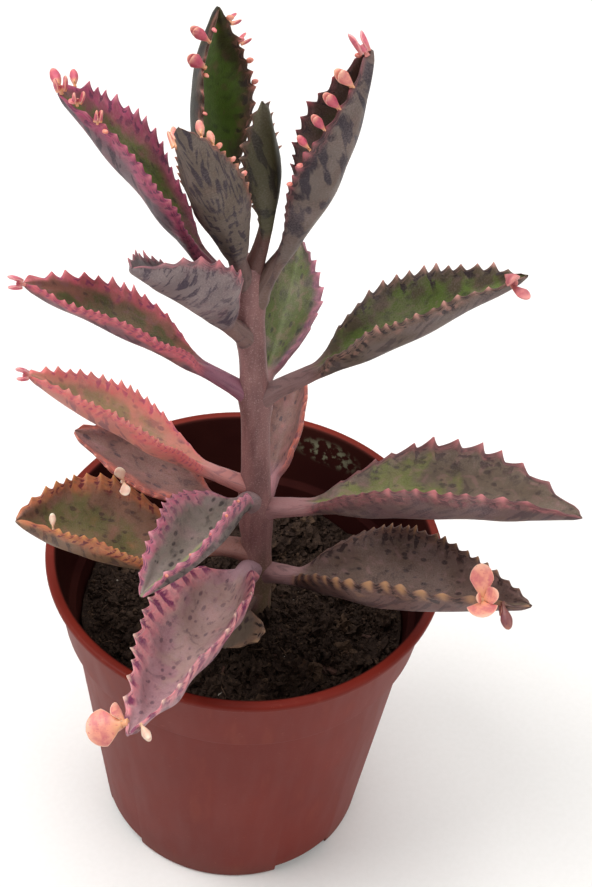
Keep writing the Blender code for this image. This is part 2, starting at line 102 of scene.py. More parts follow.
# How each leaf looks: its palette and slot, its left and right margin, how many millimetres its
# rounded tip is short of a full point, and how much the blade waves.
Look = namedtuple("Look", "palette slot left right blunt wave")
LOOKS = {
    "leaf_top_left": Look(
        "magenta_edged", "leaf_pink", (0.50, 0.75, 0.50, 40, 0.4), (0.90, 0.90, 0.50, 10, 0.0), 2.0, 1.0),
    "leaf_top_back": Look(
        "deep_green", "leaf_green", (0.55, 0.80, 0.40, -30, 0.1), (0.55, 1.00, 0.30, 20, 0.1), 0.5, 0.8),
    "leaf_top_front": Look(
        "grey_striped", "leaf_grey", (0.45, 0.90, 0.20, -25, 0.2), (0.45, 0.90, 0.16, -10, 0.0), 1.0, 0.7),
    "leaf_heart": Look(
        "dark_olive", "leaf_green", (1.10, 0.85, 0.45, -50, 0.0), (1.00, 0.85, 0.30, -50, 0.0), 0.5, 0.8),
    "leaf_top_right": Look(
        "grey_blotched", "leaf_grey", (0.80, 1.00, 0.22, 10, 0.0), (0.50, 0.95, 0.20, 0, 0.4), 0.6, 0.7),
    "leaf_upper_front": Look(
        "mauve_spotted", "leaf_grey", (0.60, 1.00, 0.22, 20, 0.2), (0.85, 0.95, 0.22, 10, 0.0), 1.2, 0.9),
    "leaf_middle_left": Look(
        "salmon_green", "leaf_pink", (0.42, 0.52, 0.50, 50, 0.4), (0.90, 0.90, 0.46, 5, 0.0), 2.4, 1.0),
    "leaf_middle_back": Look(
        "green_mauve", "leaf_green", (0.45, 1.00, 0.20, 5, 0.0), (0.60, 1.00, 0.34, 5, 0.0), 1.0, 0.8),
    "leaf_middle_right": Look(
        "fresh_green", "leaf_green", (0.95, 0.95, 0.16, 5, 0.0), (0.50, 0.80, 0.34, 45, 0.3), 0.5, 0.8),
    "leaf_lower_left": Look(
        "salmon_pink", "leaf_pink", (0.50, 0.52, 0.60, 40, 0.3), (0.80, 0.90, 0.50, 5, 0.0), 1.6, 1.0),
    "leaf_lower_front": Look(
        "magenta_grey", "leaf_pink", (0.42, 0.80, 0.40, 55, 0.4), (0.75, 0.80, 0.40, 5, 0.0), 1.2, 1.2),
    "leaf_lower_right": Look(
        "grey_yellow_green", "leaf_grey", (1.15, 1.50, 0.16, 5, 0.0), (0.45, 1.05, 0.36, 40, 0.5), 0.6, 0.8),
    "leaf_lower_side": Look(
        "pink_grey", "leaf_pink", (0.65, 0.75, 0.60, 30, 0.2), (0.70, 0.90, 0.50, 5, 0.0), 1.6, 0.8),
    "leaf_lower_back": Look(
        "pink_grey", "leaf_grey", (0.55, 1.00, 0.25, 5, 0.0), (0.55, 1.00, 0.34, 5, 0.0), 1.0, 0.8),
    "leaf_bottom_left": Look(
        "olive_orange", "leaf_green", (0.45, 0.55, 0.42, 45, 0.5), (0.75, 0.90, 0.34, 10, 0.0), 2.0, 1.2),
    "leaf_bottom_front": Look(
        "lavender_pink", "leaf_pink", (0.60, 1.50, 0.44, 30, 0.3), (0.95, 1.40, 0.50, -5, 0.0), 1.0, 1.4),
    "leaf_bottom_right": Look(
        "brown_ochre", "leaf_grey", (0.75, 0.85, 0.20, 5, 0.1), (0.55, 1.30, 0.44, 35, 0.8), 0.6, 0.9),
    "leaf_basal": Look(
        "brown_spotted", "leaf_grey", (0.50, 0.75, 0.50, 0, 0.5), (0.50, 0.75, 0.50, 0, 0.5), 2.6, 1.0),
}
LOOKS = {
    node: look._replace(left=Margin(*look.left), right=Margin(*look.right))
    for node, look in LOOKS.items()
}

# Colours of the leaf skins. face, patch and spot are the upper face's, under and stripe the
# underside's; rim and mark alternate along the margins, tooth by tooth, mark partly the leaf's own
# colour and partly painted shade between the teeth; tip is the teeth's, partly a painted highlight.
# patch_at and patch_reach place the patch along the blade. The rest are amounts: how much of the
# patch, spots, stripes, marks, pale bloom and green midrib shows, the stripes' width in
# millimetres, and how far they turn from the midrib in degrees. behind is 1 where the marks sit
# behind the teeth, not between them.
Palette = namedtuple(
    "Palette",
    "face patch spot under stripe rim mark tip stalk"
    " patch_at patch_reach patches spots stripes stripe_width stripe_turn marks behind bloom rib",
)
PALETTES = {
    "magenta_edged": Palette(
        "#7e4c4e", "#5c6630", "#2e2426", "#6c5860", "#382634", "#b44a70", "#5c2c4a", "#dc8490", "#7c4c54",
        0.45, 0.60, 1.0, 0.7, 0.9, 1.9, 25, 0.85, 0.0, 0.10, 0.0),
    "deep_green": Palette(
        "#40401f", "#4a611c", "#1e1812", "#2a2620", "#221a1e", "#55382f", "#221917", "#c07c70", "#5c3a34",
        0.45, 0.75, 1.0, 0.2, 0.7, 1.5, 25, 0.8, 0.2, 0.02, 0.0),
    "grey_striped": Palette(
        "#54483a", "#474c28", "#2a2228", "#655850", "#352b32", "#7a4f46", "#40302f", "#c88464", "#6c5450",
        0.40, 0.60, 0.5, 0.4, 1.0, 0.85, 5, 0.5, 0.0, 0.12, 0.0),
    "dark_olive": Palette(
        "#4b4530", "#46522a", "#241c1c", "#4a4630", "#241e1a", "#5c4034", "#2b1f1f", "#c08a78", "#5c3c36",
        0.40, 0.70, 0.8, 0.6, 0.8, 1.5, 12, 1.0, 0.0, 0.06, 0.0),
    "grey_blotched": Palette(
        "#5a453c", "#4b5030", "#2a2228", "#6a5d57", "#302730", "#62393e", "#2c1f26", "#b8626c", "#6c544c",
        0.40, 0.60, 0.5, 0.4, 0.95, 2.4, 30, 0.9, 0.0, 0.12, 0.0),
    "mauve_spotted": Palette(
        "#5e4c50", "#52523a", "#33272e", "#7a6b6b", "#413440", "#9a5a62", "#4c3440", "#d87c84", "#7a5f5a",
        0.40, 0.60, 0.4, 0.6, 1.0, 1.5, 60, 0.8, 0.0, 0.20, 0.0),
    "salmon_green": Palette(
        "#86584a", "#545430", "#38282c", "#7e5a64", "#402c3a", "#cc5c6c", "#84385a", "#ec8c90", "#8a5668",
        0.45, 0.50, 1.0, 0.7, 0.7, 1.8, 30, 0.9, 0.3, 0.08, 0.0),
    "green_mauve": Palette(
        "#4e473c", "#4b5428", "#2c2822", "#806a6a", "#4a3640", "#8a5464", "#54364a", "#c47c8a", "#7c5856",
        0.45, 0.80, 0.9, 0.9, 0.6, 1.5, 30, 0.6, 0.3, 0.08, 0.05),
    "fresh_green": Palette(
        "#524634", "#5a6c2c", "#2a2620", "#6c5c58", "#382c30", "#6c5248", "#2e2224", "#d4988c", "#866664",
        0.40, 0.80, 1.0, 0.6, 0.6, 1.6, 25, 1.0, 0.0, 0.10, 0.0),
    "salmon_pink": Palette(
        "#cc8672", "#8a8058", "#6e4450", "#c07a70", "#6a4858", "#e06c6e", "#ac4464", "#f09c8c", "#c4847e",
        0.55, 0.55, 0.8, 0.7, 0.6, 1.8, 30, 0.8, 0.4, 0.12, 0.0),
    "magenta_grey": Palette(
        "#887a74", "#6e6c58", "#332c2c", "#5c5450", "#2e2629", "#c4647e", "#5e3450", "#e4a0a8", "#8c7474",
        0.50, 0.70, 0.3, 1.0, 0.8, 1.6, 45, 0.9, 0.0, 0.14, 0.45),
    "grey_yellow_green": Palette(
        "#6e5e50", "#78803f", "#33272c", "#64494a", "#3a2830", "#7c444a", "#3a262c", "#c8787a", "#a07474",
        0.24, 0.40, 0.85, 0.7, 0.6, 1.8, 25, 0.7, 0.0, 0.10, 0.08),
    "pink_grey": Palette(
        "#7c5450", "#6a5c4c", "#352830", "#94706e", "#4c3644", "#c0604e", "#5c3642", "#e09480", "#946468",
        0.45, 0.60, 0.3, 0.9, 0.6, 1.8, 30, 0.9, 0.0, 0.12, 0.0),
    "olive_orange": Palette(
        "#84604c", "#6a643c", "#3a2224", "#785c44", "#3c2824", "#c4724c", "#6e2a30", "#dc9858", "#94645a",
        0.62, 0.42, 1.0, 0.8, 0.7, 1.8, 35, 1.0, 0.4, 0.10, 0.0),
    "lavender_pink": Palette(
        "#a47a80", "#a68c80", "#4a2c3e", "#9a747a", "#5a3448", "#dc828a", "#762852", "#f6ccb8", "#a8848c",
        0.25, 0.35, 0.7, 0.8, 0.7, 2.2, 45, 1.0, 1.0, 0.22, 0.0),
    "brown_ochre": Palette(
        "#6c554e", "#60503c", "#2a1c1e", "#684c48", "#38262a", "#684840", "#33201f", "#ac805a", "#9a7272",
        0.30, 0.60, 0.3, 1.0, 0.6, 1.8, 30, 1.0, 0.0, 0.10, 0.10),
    "brown_spotted": Palette(
        "#7a6458", "#6c5e4c", "#33252a", "#6e5850", "#33262a", "#94705a", "#1e1214", "#c09874", "#745850",
        0.50, 0.80, 0.5, 0.9, 0.5, 1.6, 30, 1.0, 0.0, 0.10, 0.0),
}

# Plantlets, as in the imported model: side is +1 for the right margin, along is from the blade's
# start to its tip, size is the height in metres, tilt turns it towards the leaf's upper face and
# lean towards the leaf's tip. turn twists it on its stalk, in degrees. shape is a key of LEAFLETS
# and look one of PLANTLET_SHADES.
Plantlet = namedtuple("Plantlet", "node leaf side along size tilt lean turn shape look")
PLANTLETS = [Plantlet("plantlet_" + name, "leaf_" + leaf, *rest) for name, leaf, *rest in (
    ("top_left_tip", "top_left", -1, 0.98, 0.0044, 25, 60, 21, "claw", "pink"),
    ("top_left_claw", "top_left", -1, 0.91, 0.0038, 25, 50, 17, "claw", "pink"),
    ("top_left_bean", "top_left", -1, 0.83, 0.0032, 30, 50, 12, "bean", "pink"),
    ("top_left_rim", "top_left", 1, 0.97, 0.0044, -35, 15, 17, "bean", "pink"),
    ("top_left_side", "top_left", 1, 0.89, 0.0036, -25, 10, 29, "bean", "pink"),
    ("top_back_high", "top_back", -1, 0.87, 0.0048, -90, 35, 117, "bean", "pink"),
    ("top_back_low", "top_back", -1, 0.77, 0.0050, -90, 35, 116, "pair", "pink"),
    ("top_back_side", "top_back", 1, 0.90, 0.0034, -45, 0, 118, "claw", "pink"),
    ("top_back_edge", "top_back", 1, 0.77, 0.0032, -40, 15, 121, "claw", "pink"),
    ("top_front_side", "top_front", 1, 0.78, 0.0044, 25, -5, 70, "bean", "peach"),
    ("top_front_rim", "top_front", -1, 0.83, 0.0036, 50, -5, -170, "bean", "peach"),
    ("top_front_right", "top_front", -1, 0.74, 0.0032, 55, -5, -175, "bean", "peach"),
    ("top_right_tip", "top_right", 1, 0.97, 0.0056, 70, 50, -140, "pair", "rosy"),
    ("top_right_high", "top_right", 1, 0.87, 0.0052, 5, 48, -75, "bean", "peach"),
    ("top_right_middle", "top_right", 1, 0.79, 0.0046, 5, 45, -75, "bean", "pink"),
    ("top_right_low", "top_right", 1, 0.70, 0.0040, 10, 45, -75, "bean", "pink"),
    ("top_right_last", "top_right", 1, 0.60, 0.0034, 50, 20, -42, "bean", "pink"),
    ("middle_left_tip", "middle_left", -1, 0.96, 0.0046, -55, 70, 141, "claw", "rosy"),
    ("middle_right_tip", "middle_right", 1, 0.92, 0.0060, -60, 45, -104, "hook", "salmon"),
    ("lower_left_tip", "lower_left", -1, 0.97, 0.0046, -80, 65, 164, "claw", "rosy"),
    ("lower_side", "lower_side", -1, 0.54, 0.0034, 15, 15, 136, "spread", "cream"),
    ("bottom_left", "bottom_left", -1, 0.87, 0.0034, 85, 20, -137, "bean", "cream"),
    ("bottom_front_tip", "bottom_front", 1, 0.94, 0.0090, -80, -5, 13, "disc", "peach"),
    ("bottom_front_side", "bottom_front", -1, 0.94, 0.0040, -100, 35, 151, "bean", "cream"),
    ("bottom_right", "bottom_right", 1, 0.85, 0.0078, -10, 35, 98, "trio", "peach"),
    ("bottom_right_tip", "bottom_right", 1, 0.91, 0.0064, -100, 25, 58, "curl", "ochre"),
)]

# Rows of small buds: leaf, side, first and last place along the blade, how many, their height and
# how far they tilt towards the leaf's upper face.
BudRow = namedtuple("BudRow", "leaf side first last count size tilt")
BUD_ROWS = [BudRow("leaf_" + leaf, *rest) for leaf, *rest in (
    ("top_left", -1, 0.80, 0.93, 2, 0.0022, -25),
    ("top_back", 1, 0.52, 0.93, 4, 0.0021, 0),
    ("top_back", -1, 0.40, 0.92, 4, 0.0018, 10),
    ("top_front", -1, 0.45, 0.72, 3, 0.0020, -20),
    ("heart", -1, 0.40, 0.85, 4, 0.0014, 20),
    ("top_right", 1, 0.40, 0.52, 2, 0.0024, -50),
    ("top_right", -1, 0.86, 0.96, 2, 0.0022, 10),
    ("lower_front", -1, 0.30, 0.85, 5, 0.0013, 0),
    ("lower_side", 1, 0.30, 0.80, 3, 0.0014, 0),
)]


def linear(hex_colour):
    """sRGB hex to linear red, green, blue and alpha."""
    channels = [int(hex_colour[i : i + 2], 16) / 255 for i in (1, 3, 5)]
    return (*[c / 12.92 if c <= 0.04045 else ((c + 0.055) / 1.055) ** 2.4 for c in channels], 1.0)


# Lesser tints of the finishes, by what they are.
HEX = {
    "pot_dark": "#681c12",
    "dust": "#6b5a4c",
    # Painted shade for the pot's inner wall and floor, and the lighter patches in it.
    "pot_inside_painted_shade": "#2e1110",
    "pot_painted_shade_patch": "#401e18",
    "humus": "#403026",
    "dry_peat": "#584434",
    "bark_dark": "#33201a",
    "perlite_dust": "#8c8074",
    "stem_dark": "#6a4444",
    "stem_blush": "#a0747a",
    "rib": "#a4b06c",
    "bud_pink": "#e07a80",
    "bud_orange": "#e8946c",
    "bud_pale": "#f0b4a4",
    "paper_shade": "#eceae6",
    "room": "#ffffff",
}

# Colours of the plantlets' skins: foot, body, centre and rim.
PLANTLET_SHADES = {
    "pink": ("#e0a078", "#c8606c", "#b04460", "#e8ac94"),
    "rosy": ("#d88c84", "#dc7884", "#c25470", "#f0b0ac"),
    "peach": ("#e4a47c", "#e49a84", "#c86a70", "#f0c0a4"),
    "salmon": ("#b86a64", "#c07070", "#a04c58", "#d89088"),
    "cream": ("#d8ac8c", "#e0c4ac", "#d8a894", "#f0e0cc"),
    "ochre": ("#7c5048", "#84504c", "#6e3c48", "#b07c68"),
}


# ---------------------------------------------------------------- sizes and colours a user sets

Whole = bpy.props.IntProperty


def colour(name, description, hex_colour):
    """A colour setting with its default as sRGB hex."""
    return bpy.props.FloatVectorProperty(
        name=name, description=description, default=linear(hex_colour), size=4, subtype="COLOR",
        min=0.0, max=1.0,
    )


def plain(name, description, default, **kind):
    """A setting that is a number."""
    return bpy.props.FloatProperty(name=name, description=description, default=default, **kind)


def metres(name, description, default):
    """A length setting."""
    return plain(name, description, default, unit="LENGTH")


def degrees(name, description, default):
    """An angle setting with its default in degrees."""
    return plain(name, description, math.radians(default), subtype="ANGLE")


class KalanchoePotSettings(bpy.types.PropertyGroup):
    base_radius: metres("Base radius", "Outer radius at the foot", 0.038)
    collar_height: metres("Collar height", "From the step to the rim", 0.021)
    collar_foot: metres("Collar foot radius", "Outer radius at the step", 0.0483)
    collar_step: metres("Step", "How far the collar stands out", 0.0020)
    lip_width: metres("Lip width", "How far the lip stands out", 0.0016)
    lip_drop: metres("Lip height", "Height of the lip", 0.0018)
    wall: metres("Wall", "Wall thickness", 0.0012)
    floor: metres("Floor", "Floor thickness", 0.0016)
    notch_width: metres("Drain notch width", "Width of each drain notch", 0.018)
    notch_height: metres("Drain notch height", "Height of each drain notch", 0.0030)
    notch_azimuth: degrees("First notch", "Azimuth of the first notch", 37.5)
    segments: Whole(name="Segments", description="Sides of the turned shell", default=176, min=24)
    plastic: colour("Plastic", "Colour of the moulded plastic", "#792315")
    scuff: colour("Scuffs", "Colour of rubbed plastic", "#9c5a48")
    lime: colour("Lime", "Colour of the lime stain on the inner wall", "#8c8c72")


class KalanchoeSoilSettings(bpy.types.PropertyGroup):
    coarse_density: plain("Coarse crumbs", "Coarse crumbs for each square metre", 80000.0)
    fine_density: plain("Fine crumbs", "Fine crumbs for each square metre", 1250000.0)
    perlite_density: plain("Perlite", "Perlite grains for each square metre", 7000.0)
    fibre_density: plain("Fibres", "Peat fibres for each square metre", 12000.0)
    chip_density: plain("Bark chips", "Bark chips for each square metre", 5500.0)
    peat: colour("Peat", "Colour of the moist peat", "#2d1f18")
    tan: colour("Tan crumbs", "Colour of the driest crumbs", "#5c4636")
    perlite: colour("Perlite colour", "Colour of the perlite", "#b8b0a4")
    bark: colour("Bark", "Colour of the bark chips", "#5a3426")
    fibre: colour("Fibre", "Colour of the peat fibres", "#6a4c34")


class KalanchoeStemSettings(bpy.types.PropertyGroup):
    foot_radius: metres("Foot radius", "Radius at the foot", 0.0044)
    top_radius: metres("Top radius", "Radius under the crown", 0.0030)
    node_swelling: metres("Swelling", "How far the stem swells under each leaf", 0.0007)
    skin: colour("Skin", "Colour of the stem's skin", "#8c6260")
    bloom: colour("Bloom", "Colour of the powdery bloom", "#b89a92")
    woody: colour("Woody base", "Colour near the soil", "#71603f")


class KalanchoeLeafSettings(bpy.types.PropertyGroup):
    stations: Whole(name="Stations", description="Sections along each leaf", default=240, min=40)
    across: Whole(name="Across", description="Points across each face", default=25, min=9)
    tooth_pitch: metres("Tooth pitch", "Usual distance between teeth", 0.0043)
    tooth_height: metres("Tooth height", "Usual height of a tooth", 0.0022)
    margin_share: plain("Margin thickness", "Thickness at the margin against the middle", 0.42)
    ripple: metres("Ripple", "How far the blade waves", 0.00035)
    bloom: colour("Bloom", "Colour of the powdery bloom on the leaves", "#c4b0ae")


class KalanchoeStageSettings(bpy.types.PropertyGroup):
    distance: metres("Distance", "From the camera to the point it looks at", 0.3946)
    aim_x: metres("Aim, X", "Where the camera looks", 0.01063)
    aim_z: metres("Aim, Z", "Where the camera looks", 0.13921)
    elevation: degrees("Elevation", "How far the camera looks down", 43.9)
    roll: degrees("Roll", "How far the camera leans", 5.1)
    focal_length: plain("Focal length", "In millimetres", 64.94)
    floor_radius: metres("Floor radius", "Radius of the floor", 2.5)
    paper: colour("Floor", "Colour of the floor", "#f4f2ef")


SETTINGS = {
    "kalanchoe_pot": KalanchoePotSettings,
    "kalanchoe_soil": KalanchoeSoilSettings,
    "kalanchoe_stem": KalanchoeStemSettings,
    "kalanchoe_leaves": KalanchoeLeafSettings,
    "kalanchoe_stage": KalanchoeStageSettings,
}

# ---------------------------------------------------------------- shared tools


def new_object(name, mesh):
    """A new object with the given data, linked to the scene."""
    obj = bpy.data.objects.new(name, mesh)
    bpy.context.scene.collection.objects.link(obj)
    return obj


def set_material(obj, material):
    """Gives an object this one material."""
    obj.data.materials.clear()
    obj.data.materials.append(material)


# Kinds of node that the materials share, and settings that go with them.
MATH, VECTOR, MIX = "ShaderNodeMath", "ShaderNodeVectorMath", "ShaderNodeMix"
RANGE, NOISE = "ShaderNodeMapRange", "ShaderNodeTexNoise"
BUMP, SPLIT = "ShaderNodeBump", "ShaderNodeSeparateXYZ"
TIMES, TIMES_PLUS = {"operation": "MULTIPLY"}, {"operation": "MULTIPLY_ADD"}
MINUS, LENGTH = {"operation": "SUBTRACT"}, {"operation": "LENGTH"}
SMOOTH, COLOURS = {"interpolation_type": "SMOOTHSTEP"}, {"data_type": "RGBA"}


def join(made, links):
    """Gives a node's inputs, by name or number, a socket to read or a plain value."""
    for key, value in links.items():
        if isinstance(value, bpy.types.NodeSocket):
            made.id_data.links.new(value, made.inputs[key])
        else:
            made.inputs[key].default_value = value


def add_node(tree, kind, links=None, output=0, **settings):
    """Adds a node with its settings and links. Gives one of its outputs, or all when output is None."""
    made = tree.nodes.new(kind)
    for name, value in settings.items():
        setattr(made, name, value)
    join(made, links or {})
    return made.outputs if output is None else made.outputs[output]


def skin_material(name):
    """A new material, add_node on its tree, its shader and its texture coordinates."""
    material = bpy.data.materials.new(name)
    material.use_nodes = True
    node = partial(add_node, material.node_tree)
    shader = material.node_tree.nodes["Principled BSDF"]
    return material, node, shader, node("ShaderNodeTexCoord", output="Object")


def coated(node, base, coats):
    """A base colour under coats: (share, shade), or (value, low, high, top, shade).

    A coat of the second kind doesn't show where its value is at low, and shows by its top at high.
    """
    for *rule, shade in coats:
        share = rule[0] if len(rule) == 1 else node(RANGE, dict(zip((0, 1, 2, 4), rule)), **SMOOTH)
        base = node(MIX, {0: share, 6: base, 7: shade}, 2, **COLOURS)
    return base


def round_angles(count):
    """Angles of points evenly spaced round a circle."""
    return np.linspace(0, 2 * math.pi, count, endpoint=False)


def written(work, mesh):
    """A mesh with a bmesh written to it, which is then freed."""
    work.to_mesh(mesh)
    work.free()
    return mesh


def ring_mesh(name, rings, first_pole, last_pole):
    """Closed mesh from an array of rings (ring, point, xyz), capped by a point at each end."""
    count, around = rings.shape[:2]
    points = np.vstack([rings.reshape(-1, 3), first_pole, last_pole])
    here = np.arange(count * around).reshape(count, around)
    beside = np.roll(here, -1, axis=1)
    sides = np.stack([here[:-1], beside[:-1], beside[1:], here[1:]], -1).reshape(-1, 4)
    low = np.stack([np.full(around, count * around), beside[0], here[0]], -1)
    high = np.stack([np.full(around, count * around + 1), here[-1], beside[-1]], -1)
    mesh = bpy.data.meshes.new(name)
    mesh.from_pydata(points.tolist(), [], sides.tolist() + low.tolist() + high.tolist())
    mesh.shade_smooth()
    return mesh


def set_attribute(mesh, name, columns):
    """Stores three numbers for each vertex."""
    layer = mesh.attributes.new(name, "FLOAT_VECTOR", "POINT")
    layer.data.foreach_set("vector", np.stack(columns, -1).astype(np.float32).ravel())


def joined(name, meshes):
    """One mesh from several, which are then removed."""
    work = bmesh.new()
    for mesh in meshes:
        work.from_mesh(mesh)
        bpy.data.meshes.remove(mesh)
    whole = written(work, bpy.data.meshes.new(name))
    whole.shade_smooth()
    return whole


def geometry_tree(name, inputs):
    """A Geometry Nodes tree with named inputs, add_node on it, and its inputs' sockets."""
    tree = bpy.data.node_groups.new(name, "GeometryNodeTree")
    tree.interface.new_socket("Geometry", in_out="INPUT", socket_type="NodeSocketGeometry")
    tree.interface.new_socket("Geometry", in_out="OUTPUT", socket_type="NodeSocketGeometry")
    for title, kind in inputs.items():
        tree.interface.new_socket(title, in_out="INPUT", socket_type="NodeSocket" + kind)
    node = partial(add_node, tree)
    return tree, node, node("NodeGroupInput", output=None)


def end_tree(node, geometry, material):
    """Ends a tree in Realize Instances and Set Material."""
    real = node("GeometryNodeRealizeInstances", {0: geometry})
    coated_mesh = node("GeometryNodeSetMaterial", {"Geometry": real, "Material": material})
    node("NodeGroupOutput", {0: coated_mesh}, None)


def plain_result(obj):
    """Replaces an object's mesh with what its modifiers make of it, and removes them."""
    graph = bpy.context.evaluated_depsgraph_get()
    mesh = bpy.data.meshes.new_from_object(obj.evaluated_get(graph))
    obj.modifiers.clear()
    obj.data = mesh


def grown(name, base, tree, values):
    """A plain object made by a Geometry Nodes tree from a base mesh and the inputs' values."""
    obj = new_object(name, base)
    modifier = obj.modifiers.new(tree.name, "NODES")
    modifier.node_group = tree
    for item in tree.interface.items_tree:
        if item.in_out == "INPUT" and item.name in values:
            modifier[item.identifier] = values[item.name]
    plain_result(obj)
    return obj


def remove_helpers(*helpers):
    """Deletes objects that only served to build others."""
    for helper in helpers:
        bpy.data.objects.remove(helper, do_unlink=True)


# ---------------------------------------------------------------- pot

# Edges sharper than this, in degrees, stay crisp.
SHARP_ANGLE = 35
# Where the drain notches start, from the pot's axis, and how many there are.
NOTCH_START, NOTCHES = 29 * MM, 4


def wall_radius(pot, z):
    """Outer radius of the tapered wall below the collar."""
    top = pot.collar_foot - pot.collar_step
    return pot.base_radius + (top - pot.base_radius) * z / (POT_HIGH.z - pot.collar_height)


def rounded(corners, steps=5):
    """An outline from (radius, height, rounding) corners, each rounded by an arc of its own size."""
    points = []
    for index, (radius, z, rounding) in enumerate(corners):
        here = np.array((radius, z))
        if rounding == 0:
            points.append(here)
            continue
        before = np.array(corners[index - 1][:2]) - here
        after = np.array(corners[index + 1][:2]) - here
        before /= np.linalg.norm(before)
        after /= np.linalg.norm(after)
        half = math.acos(np.clip(before @ after, -1, 1)) / 2
        middle = here + (before + after) / np.linalg.norm(before + after) * rounding / math.sin(half)
        first = here + before * rounding / math.tan(half) - middle
        last = here + after * rounding / math.tan(half) - middle
        start = math.atan2(first[1], first[0])
        sweep = (math.atan2(last[1], last[0]) - start + math.pi) % (2 * math.pi) - math.pi
        for turn in np.linspace(start, start + sweep, steps):
            points.append(middle + rounding * np.array((math.cos(turn), math.sin(turn))))
    return points


def pot_outline(pot):
    """Half section of the pot from the middle of the underside, up the outside, to the floor."""
    rim, top = POT_HIGH.x, POT_HIGH.z
    step = top - pot.collar_height
    under_lip = top - pot.lip_drop
    collar_top = rim - pot.lip_width
    inner_collar = collar_top - pot.wall
    body_top = wall_radius(pot, step)
    return rounded((
        (0.0, 0.0, 0),
        (pot.base_radius, 0.0, 0.9 * MM),
        (body_top, step, 0.25 * MM),
        (pot.collar_foot, step, 0.7 * MM),
        (collar_top, under_lip, 0.3 * MM),
        (rim, under_lip, 0.4 * MM),
        (rim, top, 0.8 * MM),
        (inner_collar, top, 0.9 * MM),
        (pot.collar_foot - pot.wall, step + pot.wall, 0.8 * MM),
        (body_top - pot.wall, step, 0.4 * MM),
        (wall_radius(pot, pot.floor) - pot.wall, pot.floor, 1.2 * MM),
        (0.0, pot.floor, 0),
    ))


def turned_shell_tree():
    """Turns an outline in the XZ plane about Z: a grid whose rows take the outline's points."""
    tree, node, given = geometry_tree("turned_shell", {
        "Outline": "Object", "Points": "Int", "Segments": "Int", "Material": "Material",
    })
    columns = node(MATH, {0: given["Segments"], 1: 1.0})
    grid = node("GeometryNodeMeshGrid", {"Vertices X": columns, "Vertices Y": given["Points"]})
    index = node("GeometryNodeInputIndex")
    row = node(MATH, {0: index, 1: given["Points"]}, operation="MODULO")
    column = node(MATH, {0: index, 1: given["Points"]}, operation="DIVIDE")
    column = node(MATH, {0: column}, operation="FLOOR")
    share = node(MATH, {0: column, 1: given["Segments"]}, operation="DIVIDE")
    angle = node(MATH, {0: share, 1: 2 * math.pi}, **TIMES)
    outline = node("GeometryNodeObjectInfo", {"Object": given["Outline"]}, "Geometry")
    links = {"Geometry": outline, "Value": node("GeometryNodeInputPosition"), "Index": row}
    point = node("GeometryNodeSampleIndex", links, data_type="FLOAT_VECTOR")
    turned = node("ShaderNodeVectorRotate", {"Vector": point, "Axis": (0.0, 0.0, 1.0), "Angle": angle})
    shaped = node("GeometryNodeSetPosition", {"Geometry": grid, "Position": turned})
    closed = node("GeometryNodeMergeByDistance", {"Geometry": shaped, "Distance": MM / 1000})
    end_tree(node, closed, given["Material"])
    return tree


def face_outwards(mesh):
    """Turns a closed mesh's faces outwards and shades it smooth up to SHARP_ANGLE."""
    work = bmesh.new()
    work.from_mesh(mesh)
    bmesh.ops.dissolve_degenerate(work, dist=MM / 1000, edges=work.edges)
    bmesh.ops.recalc_face_normals(work, faces=work.faces)
    written(work, mesh)
    mesh.shade_smooth()
    mesh.set_sharp_from_angle(angle=math.radians(SHARP_ANGLE))


def notch_cutter(pot, index):
    """A block that cuts a notch in the foot, where water drains out."""
    length = 2 * pot.base_radius - NOTCH_START
    work = bmesh.new()
    bmesh.ops.create_cube(work, size=1.0)
    size = Matrix.Diagonal((length, pot.notch_width, pot.notch_height * 2, 1.0))
    turn = Matrix.Rotation(pot.notch_azimuth + index * 2 * math.pi / NOTCHES, 4, "Z")
    place = turn @ Matrix.Translation((NOTCH_START + length / 2, 0, 0)) @ size
    bmesh.ops.transform(work, verts=work.verts, matrix=place)
    return new_object("notch", written(work, bpy.data.meshes.new("notch")))


